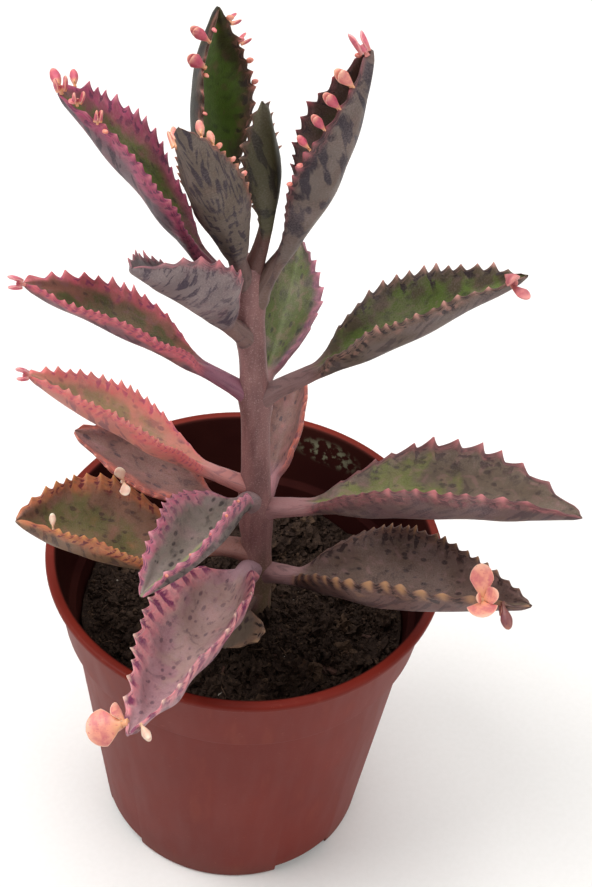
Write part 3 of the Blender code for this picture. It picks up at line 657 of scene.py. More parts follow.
def moulded_polypropylene(pot):
    """Terracotta-coloured polypropylene, injection moulded with a fine matt texture.

    Satin outside with rubbed, paler edges and a little dust; dull inside, where painted shade
    darkens the inner wall and floor.
    """
    material, node, shader, place = skin_material("moulded_polypropylene")
    broad, specks, crust, grit = (
        node(NOISE, {"Vector": place, "Scale": 1 / (size * MM), "Detail": detail})
        for size, detail in ((26, 3), (1.1, 2), (2.2, 5), (0.7, 3))
    )
    tall = node(VECTOR, {0: place, 1: [1 / (size * MM) for size in (5, 5, 25)]}, **TIMES)
    streaks = node(NOISE, {"Vector": tall, "Scale": 1.0, "Detail": 4})
    height = node(SPLIT, {0: place}, "Z")
    foot = node(RANGE, {0: height, 1: 9 * MM, 2: 0.0, 4: 0.30}, **SMOOTH)
    dusty = node(MATH, {0: foot, 1: streaks}, **TIMES)
    # The inside starts where the distance from the axis falls below the middle of the wall.
    flat_place = node(VECTOR, {0: place, 1: (1, 1, 0)}, **TIMES)
    distance = node(VECTOR, {0: flat_place}, "Value", **LENGTH)
    step = POT_HIGH.z - pot.collar_height
    body, collar = (
        node(RANGE, {0: height, 1: low, 2: high, 3: first, 4: last})
        for low, high, first, last in (
            (0.0, step, pot.base_radius, wall_radius(pot, step)),
            (step, POT_HIGH.z, pot.collar_foot, POT_HIGH.x - pot.lip_width),
        )
    )
    above = node(MATH, {0: height, 1: step - 0.1 * MM}, operation="GREATER_THAN")
    outer = node(MIX, {0: above, 2: body, 3: collar})
    depth = node(MATH, {0: outer, 1: distance}, **MINUS)
    within = node(RANGE, {0: depth, 1: 0.3 * pot.wall, 2: 0.9 * pot.wall}, **SMOOTH)
    on_floor = node(RANGE, {0: height, 1: 0.6 * pot.floor, 2: 0.8 * pot.floor}, **SMOOTH)
    inside = node(MATH, {0: within, 1: on_floor}, **TIMES)
    # Painted shade: the inside is coloured dark, in broad lighter and darker patches, for the shade in the
    # pot.
    painted_inside_shade = coated(node, linear(HEX["pot_inside_painted_shade"]), ((broad, 0.3, 0.7, 0.6, linear(HEX["pot_painted_shade_patch"])),))
    # A lime stain high on the inner wall.
    offset = node(VECTOR, {0: place, 1: (20 * MM, 44 * MM, 93.5 * MM)}, **MINUS)
    squeezed = node(VECTOR, {0: offset, 1: (0.75, 0.75, 1.9)}, **TIMES)
    far = node(VECTOR, {0: squeezed}, "Value", **LENGTH)
    spread = node(RANGE, {0: far, 1: 9.5 * MM, 2: 3 * MM}, **SMOOTH)
    crusted = node(RANGE, {0: crust, 1: 0.46, 2: 0.60, 4: 0.75}, **SMOOTH)
    spread = node(MATH, {0: spread, 1: crusted}, **TIMES)
    stain = node(MATH, {0: spread, 1: inside}, **TIMES)
    base = coated(node, linear(HEX["pot_dark"]), (
        (broad, 0.35, 0.70, 0.35, pot.plastic),
        (streaks, 0.56, 0.75, 0.12, pot.scuff),
        (specks, 0.68, 0.76, 0.20, pot.scuff),
        (dusty, linear(HEX["dust"])),
        # The painted shade covers the inner wall and floor.
        (inside, painted_inside_shade),
        (stain, pot.lime),
    ))
    satin = node(RANGE, {0: streaks, 3: 0.42, 4: 0.62})
    dull = node(MATH, {0: inside, 1: 0.8}, **TIMES)
    join(shader, {
        "Base Color": base,
        "Roughness": node(MATH, {0: satin, 1: dull}, operation="MAXIMUM"),
        "IOR": 1.49,
        "Specular IOR Level": node(RANGE, {0: inside, 3: 0.14, 4: 0.03}),
        "Normal": node(BUMP, {"Height": grit, "Distance": 0.05 * MM, "Strength": 0.35}),
    })
    return material


class KALANCHOE_OT_pot(bpy.types.Operator):
    """Builds the nursery pot: a turned shell with a lip, a collar and four drain notches"""

    bl_idname = "kalanchoe.pot"
    bl_label = "Pot"

    def execute(self, context):
        pot = context.scene.kalanchoe_pot
        points = pot_outline(pot)
        line = bpy.data.meshes.new("outline")
        line.from_pydata([(radius, 0, z) for radius, z in points], [], [])
        outline = new_object("outline", line)
        shell = grown("pot_shell", bpy.data.meshes.new("pot_shell"), turned_shell_tree(), {
            "Outline": outline, "Points": len(points), "Segments": pot.segments,
        })
        face_outwards(shell.data)
        cutters = [notch_cutter(pot, index) for index in range(NOTCHES)]
        for cutter in cutters:
            cut = shell.modifiers.new("notch", "BOOLEAN")
            cut.object = cutter
        plain_result(shell)
        face_outwards(shell.data)
        remove_helpers(outline, *cutters)
        set_material(shell, moulded_polypropylene(pot))
        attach(shell, "root")
        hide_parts("pot")
        return {"FINISHED"}


# ---------------------------------------------------------------- soil

SOIL_SEED = 11
# Rings and sides of the soil's bed, and of the hidden surface that grains are scattered on.
BED_GRID, SCATTER_GRID = (64, 192), (48, 96)


def soil_height(x, y):
    """Height of the soil: a low mound round the stem, then lumps, clods and crumbs."""
    mound = 1.0 * MM * (1 - math.hypot(x, y) / SOIL_HIGH.x)
    height = SOIL_HIGH.z - 2.5 * MM + mound
    for across, deep, layer in ((0.012, 2.6, 3.0), (0.0055, 2.4, 9.0), (0.0022, 0.8, 7.0)):
        height += noise.noise((x / across, y / across, layer)) * deep * MM
    return height


def soil_mesh(name, reach, rings, segments, closed=True):
    """The soil's surface out to a radius and, if closed, its sides and underside."""
    turns = round_angles(segments)
    surface = []
    for ring in range(rings):
        radius = reach * (1 - ring / rings)
        flat = [(radius * math.cos(turn), radius * math.sin(turn)) for turn in turns]
        surface.append([(x, y, soil_height(x, y)) for x, y in flat])
    if closed:
        low = SOIL_LOW.z + 0.2 * MM
        pot = bpy.context.scene.kalanchoe_pot
        foot = wall_radius(pot, low) - pot.wall - 0.3 * MM
        surface.insert(0, [(foot * math.cos(turn), foot * math.sin(turn), low) for turn in turns])
    top, bottom = (0, 0, soil_height(0, 0)), (0, 0, surface[0][0][2])
    mesh = ring_mesh(name, np.array(surface), bottom, top)
    if not closed:
        work = bmesh.new()
        work.from_mesh(mesh)
        work.verts.ensure_lookup_table()
        bmesh.ops.delete(work, geom=[work.verts[rings * segments]], context="VERTS")
        written(work, mesh)
    return mesh


def crumb(name, rng, size, rough, subdivisions=1):
    """A lumpy grain a unit across: an icosphere with its points pushed in and out in lumps."""
    work = bmesh.new()
    bmesh.ops.create_icosphere(work, subdivisions=subdivisions, radius=0.5)
    start = Vector(rng.random(3) * 50)
    for vertex in work.verts:
        lump = 1.4 * noise.noise(vertex.co * 3.2 + start) + 0.7 * noise.noise(vertex.co * 8 + start)
        push = 1 + rough * (lump + 0.35 * (rng.random() - 0.5))
        vertex.co = [c * s * push for c, s in zip(vertex.co, size)]
    return bpy.data.objects.new(name, written(work, bpy.data.meshes.new(name)))


def fibre(name, rng, bends=6, sides=3):
    """A thin bent fibre a unit long."""
    places = np.linspace(-0.5, 0.5, bends)
    sway = rng.normal(0, 0.10, (bends, 2)).cumsum(axis=0)
    rings = []
    for place, (side, up) in zip(places, sway - sway.mean(axis=0)):
        turns = round_angles(sides)
        radius = 0.022 * (1.15 - abs(place))
        rings.append([(place, side + radius * math.cos(a), up * 0.4 + radius * math.sin(a)) for a in turns])
    rings = np.array(rings)
    return bpy.data.objects.new(name, ring_mesh(name, rings, rings[0].mean(0), rings[-1].mean(0)))


def scattered_tree():
    """Scatters the shapes of a collection over a surface, turned and sized at random."""
    tree, node, given = geometry_tree("scattered_on_soil", {
        "Shapes": "Collection", "Density": "Float", "Smallest": "Float", "Largest": "Float",
        "Tilt": "Float", "Sink": "Float", "Seed": "Int", "Material": "Material",
    })
    seed, tilt = given["Seed"], given["Tilt"]
    links = {"Mesh": given["Geometry"], "Density": given["Density"], "Seed": seed}
    points = node("GeometryNodeDistributePointsOnFaces", links)
    shapes = node("GeometryNodeCollectionInfo", {0: given["Shapes"], 1: True, 2: True})
    least = node(MATH, {0: tilt, 1: -1.0}, **TIMES)
    low, high = (
        node("ShaderNodeCombineXYZ", {0: lean, 1: lean, 2: spin})
        for lean, spin in ((least, -math.pi), (tilt, math.pi))
    )
    turn = node("FunctionNodeRandomValue", {0: low, 1: high, "Seed": seed}, data_type="FLOAT_VECTOR")
    next_seed = node(MATH, {0: seed, 1: 1.0})
    random = node("FunctionNodeRandomValue", {2: 0.0, 3: 1.0, "Seed": next_seed}, 1)
    # Most grains are small: the share of the size range is squared.
    share = node(MATH, {0: random, 1: 2.0}, operation="POWER")
    size = node(RANGE, {0: share, 3: given["Smallest"], 4: given["Largest"]})
    sink = node(MATH, {0: size, 1: given["Sink"]}, **TIMES)
    drop = node(MATH, {0: sink, 1: -1.0}, **TIMES)
    offset = node("ShaderNodeCombineXYZ", {2: drop})
    sunk = node("GeometryNodeSetPosition", {"Geometry": points, "Offset": offset})
    placed = node("GeometryNodeInstanceOnPoints", {
        "Points": sunk, "Instance": shapes, "Pick Instance": True, "Rotation": turn, "Scale": size,
    })
    end_tree(node, placed, given["Material"])
    return tree


def moist_peat(soil):
    """Moist peat and bark compost: dark, matt, each crumb its own brown, a few of them dry."""
    material, node, shader, place = skin_material("moist_peat")
    island = node("ShaderNodeNewGeometry", output="Random Per Island")
    coarse, medium, fine = (
        node(NOISE, {"Vector": place, "Scale": 1 / (size * MM), "Detail": detail})
        for size, detail in ((1.5, 2), (0.9, 4), (0.5, 4))
    )
    join(shader, {
        "Base Color": coated(node, soil.peat, (
            (island, 0.25, 0.85, 0.50, linear(HEX["humus"])),
            (island, 0.92, 0.99, 0.60, soil.tan),
            (medium, 0.52, 0.72, 0.55, linear(HEX["dry_peat"])),
        )),
        "Roughness": node(RANGE, {0: coarse, 3: 0.62, 4: 1.0}),
        "Specular IOR Level": 0.2,
        "Normal": node(BUMP, {"Height": fine, "Distance": 0.4 * MM, "Strength": 1.0}),
    })
    return material


def grainy_material(name, first, second, size, roughness):
    """A matt mineral or woody grain of two mixed colours."""
    material, node, shader, place = skin_material(name)
    island = node("ShaderNodeNewGeometry", output="Random Per Island")
    stretched = node(VECTOR, {0: place, 1: [1 / (size * part) for part in (2, 0.6, 1)]}, **TIMES)
    fibres = node(NOISE, {"Vector": stretched, "Scale": 1.0, "Detail": 4})
    pits = node(NOISE, {"Vector": place, "Scale": 1 / (size / 3), "Detail": 3})
    join(shader, {
        "Base Color": coated(node, first, ((fibres, second), (island, 0.0, 1.0, 0.45, second))),
        "Roughness": roughness,
        "Normal": node(BUMP, {"Height": pits, "Distance": 0.1 * MM, "Strength": 0.6}),
    })
    return material


class KALANCHOE_OT_soil(bpy.types.Operator):
    """Builds the potting soil: a lumpy bed with crumbs, perlite, bark chips and fibres on it"""

    bl_idname = "kalanchoe.soil"
    bl_label = "Soil"

    def execute(self, context):
        soil = context.scene.kalanchoe_soil
        peat = moist_peat(soil)
        bed = new_object("soil_bed", soil_mesh("soil_bed", SOIL_HIGH.x - 0.4 * MM, *BED_GRID))
        set_material(bed, peat)
        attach(bed, "root")
        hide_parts("soil")
        rng = np.random.default_rng(SOIL_SEED)
        crumbs = [crumb(f"crumb_{i}", rng, (1, 0.8, 0.7), 0.7, 3) for i in range(6)]
        grains = [crumb(f"grain_{i}", rng, (1, 0.85, 0.8), 0.6) for i in range(3)]
        pearls = [crumb(f"pearl_{i}", rng, (1, 0.9, 0.8), 0.35) for i in range(2)]
        chips = [crumb(f"chip_{i}", rng, (1.4, 0.6, 0.3), 0.7) for i in range(3)]
        fibres = [fibre(f"fibre_{i}", rng) for i in range(4)]
        bark = grainy_material("pine_bark", soil.bark, linear(HEX["bark_dark"]), 1.2 * MM, 0.85)
        dust = linear(HEX["perlite_dust"])
        perlite = grainy_material("expanded_perlite", soil.perlite, dust, 0.6 * MM, 0.9)
        threads = grainy_material("peat_fibre", soil.fibre, soil.peat, 1.5 * MM, 0.8)
        turned = math.pi
        # name, shapes, density, smallest, largest, tilt, sink, material
        layers = (
            ("coarse_crumbs", crumbs, soil.coarse_density, 2.0, 7.0, turned, -0.05, peat),
            ("fine_crumbs", grains, soil.fine_density, 0.5, 1.9, turned, -0.15, peat),
            ("perlite_grains", pearls, soil.perlite_density, 0.5, 1.7, turned, -0.05, perlite),
            ("bark_chips", chips, soil.chip_density, 2.0, 5.0, 0.5, -0.05, bark),
            ("peat_fibres", fibres, soil.fibre_density, 4.0, 11.0, 0.2, -0.10, threads),
        )
        reach = SOIL_HIGH.x - 1.6 * MM
        tree = scattered_tree()
        for number, (name, shapes, density, least, most, tilt, sink, material) in enumerate(layers):
            shelf = bpy.data.collections.new(name)
            for shape in shapes:
                shelf.objects.link(shape)
            inner = reach if most < 3 else reach - most / 3 * MM
            piece = grown(name, soil_mesh(name, inner, *SCATTER_GRID, closed=False), tree, {
                "Shapes": shelf, "Density": density, "Smallest": least * MM, "Largest": most * MM,
                "Tilt": tilt, "Sink": sink, "Seed": SOIL_SEED + number, "Material": material,
            })
            set_material(piece, material)
            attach(piece, "root")
            remove_helpers(*shapes)
            bpy.data.collections.remove(shelf)
        return {"FINISHED"}


# ---------------------------------------------------------------- stem

SOIL_LEVEL = POT_HIGH.z - 25 * MM
STEM_SIDES, STEM_RINGS = 56, 190


def stem_centre(z):
    """The stem's middle at a height: a slight lean and curve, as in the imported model."""
    t = (z - SOIL_LEVEL) / 0.110
    return np.array((0.0034 - 0.0026 * t - 0.0037 * t * t, 0.0, z))


def succulent_bark(stem):
    """The kalanchoe stem's skin: fleshy, pinkish brown, with a powdery wax bloom.

    Fine pale specks of wax, faint lengthwise streaks, and a greener, corkier foot.
    """
    material, node, shader, place = skin_material("succulent_bark")
    tall = node(VECTOR, {0: place, 1: [1 / (size * MM) for size in (2.2, 2.2, 11)]}, **TIMES)
    streaks = node(NOISE, {"Vector": tall, "Scale": 1.0, "Detail": 4})
    specks, dots = (
        node(NOISE, {"Vector": place, "Scale": 1 / (size * MM), "Detail": detail})
        for size, detail in ((0.35, 3), (0.9, 2))
    )
    height = node(SPLIT, {0: place}, "Z")
    low = node(RANGE, {0: height, 1: SOIL_LEVEL + 34 * MM, 2: SOIL_LEVEL + 8 * MM, 4: 0.75}, **SMOOTH)
    corky = node(RANGE, {0: streaks, 1: 0.2, 2: 0.6}, **SMOOTH)
    relief = node(MATH, {0: streaks, 1: specks})
    join(shader, {
        "Base Color": coated(node, stem.skin, (
            (streaks, 0.30, 0.72, 0.75, linear(HEX["stem_dark"])),
            (node(MATH, {0: low, 1: corky}, **TIMES), stem.woody),
            (specks, 0.52, 0.72, 0.55, stem.bloom),
            (dots, 0.62, 0.74, 0.40, linear(HEX["stem_blush"])),
        )),
        "Roughness": node(RANGE, {0: specks, 3: 0.5, 4: 0.75}),
        "Subsurface Weight": 0.08,
        "Subsurface Radius": (1.0, 0.4, 0.3),
        "Subsurface Scale": 1.2 * MM,
        "Normal": node(BUMP, {"Height": relief, "Distance": 0.12 * MM, "Strength": 0.5}),
    })
    return material


class KALANCHOE_OT_stem(bpy.types.Operator):
    """Builds the main stem, which swells under each leaf and narrows to the crown"""

    bl_idname = "kalanchoe.stem"
    bl_label = "Stem"

    def execute(self, context):
        stem = context.scene.kalanchoe_stem
        top = STEM_HIGH.z - 1.5 * MM
        turns = round_angles(STEM_SIDES)
        rings = []
        for z in np.linspace(STEM_LOW.z, top, STEM_RINGS):
            share = (z - STEM_LOW.z) / (top - STEM_LOW.z)
            radius = stem.foot_radius + (stem.top_radius - stem.foot_radius) * share
            around = np.full(len(turns), radius)
            for leaf in LEAVES:
                near = math.exp(-(((z - leaf.height + 1.5 * MM) / (4.0 * MM)) ** 2))
                facing = np.cos(turns - math.radians(leaf.azimuth)) * 0.5 + 0.5
                around += stem.node_swelling * near * facing**2
            around *= 1 + 0.02 * np.sin(3 * turns + z * 90) + 0.012 * np.sin(5 * turns - z * 160)
            ring = np.stack([around * np.cos(turns), around * np.sin(turns), np.zeros(len(turns))], 1)
            rings.append(ring + stem_centre(z))
        low, high = stem_centre(STEM_LOW.z), stem_centre(top) + (0, 0, 1.5 * MM)
        piece = new_object("main_stem", ring_mesh("main_stem", np.array(rings), low, high))
        set_material(piece, succulent_bark(stem))
        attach(piece, "root")
        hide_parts("stem")
        return {"FINISHED"}


# ---------------------------------------------------------------- leaves

# Places along the petiole, as shares of its length, where it flattens, folds and widens.
FLATTEN_START, FLATTEN_REACH, FOLD_START, BLADE_START = 0.5, 0.9, 0.6, 0.75
# Each half of a blade bends up as far out as the knee, and is straight from there to the margin.
FOLD_KNEE, LEAST_FOLD = 0.5, 0.001
# How full the outline is below and above the widest place, and how round the petiole.
BASE_POWER, TIP_POWER, ROUND_POWER = 1.15, 0.9, 0.5
SPINE_STEPS = 61
# A tooth rises slowly and then falls over the first part of the next gap.
RISE_POWER, FALL_POWER, FALL_SHARE = 2.4, 1.6, 0.42
# Half the thickness of a blade's middle, the depth of the groove along its midrib, and how deep
# the gaps between teeth are against the teeth.
BLADE_THICK, GROOVE_DEPTH, GAP_SHARE = 1.25 * MM, 0.75 * MM, 0.35
# Where teeth and knuckles start, between the midrib (0) and the margin (1), and the share of the
# blade's length over which the knuckles reach their full size.
TEETH_START, KNUCKLE_START, KNUCKLES_FULL = 0.66, 0.78, 0.40
LEAF_SEED = 40
# How far apart, in millimetres, patterns are read on the two faces of a leaf and on any two leaves.
FACES_APART, LEAVES_APART = 40.0, 100


def spine(leaf):
    """Lengths along a leaf, its centre line, and the directions across it and out of its face."""
    length = leaf.petiole + leaf.blade
    s = np.linspace(0, length, SPINE_STEPS)
    on_petiole = np.clip(s / leaf.petiole, 0, 1)
    on_blade = np.clip((s - leaf.petiole) / leaf.blade, 0, 1)
    rise = np.radians(leaf.rise + leaf.petiole_bend * on_petiole + leaf.blade_bend * on_blade)
    heading = np.radians(leaf.azimuth + leaf.swing * s / length)
    along = np.stack([np.cos(rise) * np.cos(heading), np.cos(rise) * np.sin(heading), np.sin(rise)], 1)
    steps = (along[1:] + along[:-1]) / 2 * (length / (SPINE_STEPS - 1))
    start = math.radians(leaf.azimuth)
    outward = 1.5 * MM * np.array((math.cos(start), math.sin(start), 0))
    centre = np.vstack([np.zeros(3), np.cumsum(steps, 0)]) + stem_centre(leaf.height) + outward
    face = np.stack([-np.sin(rise) * np.cos(heading), -np.sin(rise) * np.sin(heading), np.cos(rise)], 1)
    across = np.cross(along, face)
    roll = np.radians(leaf.twist * on_petiole + leaf.blade_twist * on_blade)[:, None]
    turned_face = face * np.cos(roll) - across * np.sin(roll)
    turned_across = across * np.cos(roll) + face * np.sin(roll)
    return s, centre, turned_across, turned_face


def at(s, known, values):
    """The values, three numbers each, at any length along a leaf."""
    return np.stack([np.interp(s, known, values[:, axis]) for axis in range(3)], -1)


def petiole_radius(leaf):
    """A petiole is thicker where its blade is wider."""
    return 1.4 * MM + 0.07 * leaf.half_width


def half_width(leaf, s):
    """Half the width of the flattened leaf: round petiole, then a lance-shaped blade."""
    start = leaf.petiole * BLADE_START
    along = np.clip((s - start) / (leaf.petiole + leaf.blade - start), 0, 1)
    power = math.log(0.5) / math.log(leaf.widest)
    shape = np.where(along < leaf.widest, BASE_POWER, TIP_POWER)
    blade = leaf.half_width * np.sin(math.pi * along**power) ** shape
    stalk = petiole_radius(leaf) * np.clip(1 - (s - leaf.petiole) / leaf.blade, 0, 1) ** ROUND_POWER
    return np.cbrt(blade**3 + stalk**3)


def fold_angle(leaf, s):
    """How steeply each half of the blade stands up from the midrib, in radians."""
    start = leaf.petiole * FOLD_START
    return np.radians(leaf.fold) * np.clip((s - start) / start, LEAST_FOLD, 1)


def folded(width, fold, t):
    """Points and face directions at t, from the midrib (0) to a margin (+1 or -1), once folded."""
    reach = np.abs(t)
    bend = np.minimum(reach / FOLD_KNEE, 1) * fold
    straight = np.maximum(reach - FOLD_KNEE, 0)
    x = width * (FOLD_KNEE * np.sin(bend) / fold + straight * np.cos(fold)) * np.sign(t)
    y = width * (FOLD_KNEE * (1 - np.cos(bend)) / fold + straight * np.sin(fold))
    return x, y, -np.sin(bend) * np.sign(t), np.cos(bend)


def blade_end(leaf, look):
    """Where the visible blade ends, measured along the leaf."""
    return leaf.petiole + leaf.blade - look.blunt * MM


def blunted(leaf, look, s):
    """Half the width of the visible blade, with its tip rounded off over the last millimetres."""
    reach = (1.2 + look.blunt) * MM
    past = np.clip((s - blade_end(leaf, look) + reach) / reach, 0, 1)
    return half_width(leaf, s) * np.sqrt(1.0001 - past**2)


def teeth(leaf, s, margin, leaves, rng):
    """Height of a margin's teeth at each place along it, and how near each place is to a tip."""
    pitch = leaves.tooth_pitch * margin.pitch
    tips = [leaf.petiole * 0.95]
    while tips[-1] < s[-1] - 0.5 * pitch:
        share = max((tips[-1] - leaf.petiole) / leaf.blade, 0)
        tips.append(tips[-1] + pitch * (0.75 + 0.35 * share) * (0.66 + 0.6 * rng.random()))
    tips = np.array(tips)
    share = (tips - leaf.petiole) / leaf.blade
    heights = leaves.tooth_height * margin.height * (0.6 + 0.55 * rng.random(len(tips)))
    heights *= np.clip(0.15 + 2.2 * share, 0, 1) * np.clip((1.08 - share) / 0.25, 0.4, 1)
    after = np.clip(np.searchsorted(tips, s), 1, len(tips) - 1)
    p = np.clip((s - tips[after - 1]) / (tips[after] - tips[after - 1]), 0, 1)
    rising = heights[after] * p**RISE_POWER
    falling = heights[after - 1] * np.clip(1 - p / FALL_SHARE, 0, 1) ** FALL_POWER
    between = heights[after - 1] * (1 - p) + heights[after] * p
    lump = np.abs(np.cos(math.pi * p))
    domed = between * (0.25 + 0.75 * lump**0.9)
    reach = np.maximum(rising, falling) * (1 - margin.knuckle) + domed * margin.knuckle
    reach *= (s > tips[0]) * np.clip((s[-1] - s) / (1.2 * MM), 0, 1)
    pointed = np.maximum(p**1.6, np.clip(1 - p / 0.40, 0, 1) ** 1.2)
    return reach, pointed * (1 - margin.knuckle) + lump**1.3 * margin.knuckle


def swept_foot(foot, rise):
    """Centres below a petiole's start, where it runs down into the stem, and the size of each section."""
    deep = np.linspace(1, 0, 12, endpoint=False)[1:]
    start, along = foot
    down = along * 0.6 + np.array((0, 0, 0.8 * max(math.sin(rise), 0)))
    down /= np.linalg.norm(down)
    return start - down * (deep * 5 * MM)[:, None], np.sqrt(1 - deep**2)


def thickness(leaf, leaves, s, t, on_blade, dome):
    """Half a leaf's thickness: round on the petiole, a thin lens with a blunt margin on the blade."""
    middle = petiole_radius(leaf) * 0.85 * (1 - on_blade) + BLADE_THICK * on_blade
    middle = middle * np.maximum(1.15 - 0.75 * s / (leaf.petiole + leaf.blade), 0.3)[:, None]
    stalk = (1 - t * t) ** ROUND_POWER
    margin = leaves.margin_share * (1 + 0.8 * dome)
    blade = (1 - margin) * (1 - t * t) ** 0.7 + margin * np.clip(1 - np.abs(t) ** 14, 0, 1) ** 0.5
    return middle * (stalk * (1 - on_blade) + blade * on_blade)


def soft_waves(far, t, phase):
    """How a blade waves: short waves at its margins, and long low ones everywhere."""
    wave = np.sin(far / (1.9 * MM) + phase[0]) * 0.5 + np.sin(far / (3.4 * MM) + phase[1] + 2 * t)
    wave = wave * t * t + 0.7 * np.sin(far / (3.1 * MM) + phase[2] + 4 * t) * np.sin(5 * t + phase[3])
    return wave + 0.6 * np.sin(far / (6 * MM) + phase[4] + 3 * t)


# A leaf at each place along and across it: half its width, how far its teeth reach and at most, how
# near a tooth is, what the margins ask for, and its two faces, each as across and up.
Sheet = namedtuple("Sheet", "width reach full near rim dome upper under")


def leaf_sheet(leaf, look, leaves, s, t, rng):
    """A leaf's two faces with their fold, teeth and waves, before they are laid along its spine."""
    far, length = s[:, None], leaf.petiole + leaf.blade
    left, left_near = teeth(leaf, s, look.left, leaves, rng)
    right, right_near = teeth(leaf, s, look.right, leaves, rng)
    height = np.where(t < 0, left[:, None], right[:, None])
    near = np.where(t < 0, left_near[:, None], right_near[:, None])
    curl, rim, full, dome = (
        np.where(t < 0, getattr(look.left, part), getattr(look.right, part))
        for part in ("curl", "rim", "height", "knuckle")
    )
    full = full * leaves.tooth_height
    curl = np.radians(curl)
    width = blunted(leaf, look, s)[:, None]
    fold = fold_angle(leaf, s)[:, None]
    x, y, face_x, face_y = folded(width, fold, t)
    on_blade = np.clip((s / leaf.petiole - FLATTEN_START) / FLATTEN_REACH, 0, 1)[:, None]
    # Teeth stand a little out of the outline, and the gaps between them lie a little inside it.
    edge = np.clip((np.abs(t) - TEETH_START) / (1 - TEETH_START), 0, 1) ** 1.5
    reach = edge * height
    inset = GAP_SHARE * full * edge * on_blade
    turn = fold + curl * np.clip(reach / full, 0.3, 1)
    x = x + np.sign(t) * (np.cos(turn) * reach - np.cos(fold) * inset)
    y = y + np.sin(turn) * reach - np.sin(fold) * inset
    # The thickness swells at each knuckle and thins at each pointed tooth and towards the tip.
    lens = thickness(leaf, leaves, s, t, on_blade, dome)
    started = np.clip((far - leaf.petiole) / (KNUCKLES_FULL * leaf.blade), 0.05, 1)
    knuckle = np.clip((np.abs(t) - KNUCKLE_START + 0.12 * dome) / 0.18, 0, 1) * on_blade * started
    lens = lens * (1 + knuckle * (0.25 + 0.75 * dome) * (0.75 * near - 0.30))
    lens = lens * (1 - 0.55 * (1 - dome) * np.clip(reach / full, 0, 1))
    lens = lens * np.sqrt(np.clip((blade_end(leaf, look) - far) / (2.4 * MM), 0.02, 1))
    # The blade waves softly, and with its teeth at the margins.
    wave = soft_waves(far, t, rng.random(5) * 2 * math.pi) + (0.15 + 1.1 * dome) * (near - 0.5) * knuckle
    wave = leaves.ripple * look.wave * on_blade * wave
    groove = np.exp(-((t / 0.10) ** 2)) * on_blade * (1 - far / length)
    upper = (x + face_x * (lens * 0.8 + wave), y + face_y * (lens * 0.8 + wave) - GROOVE_DEPTH * groove)
    under = (x - face_x * (lens * 1.2 - wave), y - face_y * (lens * 1.2 - wave) - 0.5 * MM * groove)
    return Sheet(width, reach, full, near, rim, dome, upper, under)


def leaf_mesh(leaf, look, leaves, number):
    """A leaf's closed surface: folded blade with teeth on both margins, and a foot in the stem.

    Its attributes tell the leaf's skin each point's place along, across and through the leaf, in
    millimetres, how near it is to a margin and to a tooth, and how far it is along the leaf.
    """
    end = blade_end(leaf, look)
    s = end * np.linspace(0, 1, leaves.stations + 1)[:-1]
    t = np.sin(np.linspace(-math.pi / 2, math.pi / 2, leaves.across))[None, :]
    sheet = leaf_sheet(leaf, look, leaves, s, t, np.random.default_rng(LEAF_SEED + number))

    def loop(top, bottom=None):
        """Upper face from left to right, then the underside back, turned to face out."""
        bottom = top if bottom is None else bottom
        top, bottom = (np.broadcast_to(part, sheet.near.shape) for part in (top, bottom))
        return np.hstack([top, bottom[:, ::-1][:, 1:-1]])[:, ::-1]

    far = s[:, None]
    flare = 1 + 0.25 * np.exp(-far / (3 * MM))
    aside = loop(sheet.upper[0] * flare, sheet.under[0] * flare)[..., None]
    above = loop(sheet.upper[1] * flare, sheet.under[1] * flare)[..., None]
    ahead = loop(sheet.reach * 0.5)[..., None]
    known, centres, acrosses, faces = spine(leaf)
    centre, across, face = (at(s, known, values)[:, None, :] for values in (centres, acrosses, faces))
    rings = centre + across * aside + face * above + np.cross(face, across) * ahead
    below, sizes = swept_foot((centres[0], np.cross(faces[0], acrosses[0])), math.radians(leaf.rise))
    foot = below[:, None, :] + (rings[0] - centres[0])[None] * sizes[:, None, None]
    rings = np.concatenate([foot, rings])
    mesh = ring_mesh(leaf.node, rings, below[0], at(np.array([end]), known, centres)[0])

    across_leaf = np.abs(t)
    side = loop(across_leaf**30 * 0.5, 1 - across_leaf**30 * 0.5)
    closeness = np.clip(1 - (1 - across_leaf) / sheet.rim, 0, 1)
    share = np.clip((far - leaf.petiole) / leaf.blade, 0, 1)
    stalk = np.clip((leaf.petiole * 1.15 - far) / (leaf.petiole * 0.45), 0, 1)
    tooth = np.clip(sheet.reach / (sheet.full * 0.9), 0, 1)
    tooth = np.maximum(tooth, sheet.dome * sheet.near * np.clip((across_leaf - TEETH_START) / 0.26, 0, 1))
    place = (loop(far) / MM + LEAVES_APART * number, loop(t * sheet.width) / MM, side * FACES_APART)
    attributes = {
        "leaf_place": place,
        "leaf_edge": (loop(closeness), loop(sheet.near), loop(stalk)),
        "leaf_share": (loop(across_leaf), loop(share), loop(tooth)),
    }
    for name, columns in attributes.items():
        whole = [np.vstack([np.repeat(column[:1], len(sizes), 0), column]) for column in columns]
        set_attribute(mesh, name, [np.append(c.ravel(), (c[0].mean(), c[-1].mean())) for c in whole])
    return mesh


# What a leaf's skin reads at each point: the parts of its attributes, then noises of several sizes.
Reading = namedtuple(
    "Reading",
    "place level across side closeness near_tooth stalk outer along tooth"
    " broad coarse medium fine blotch mottle",
)


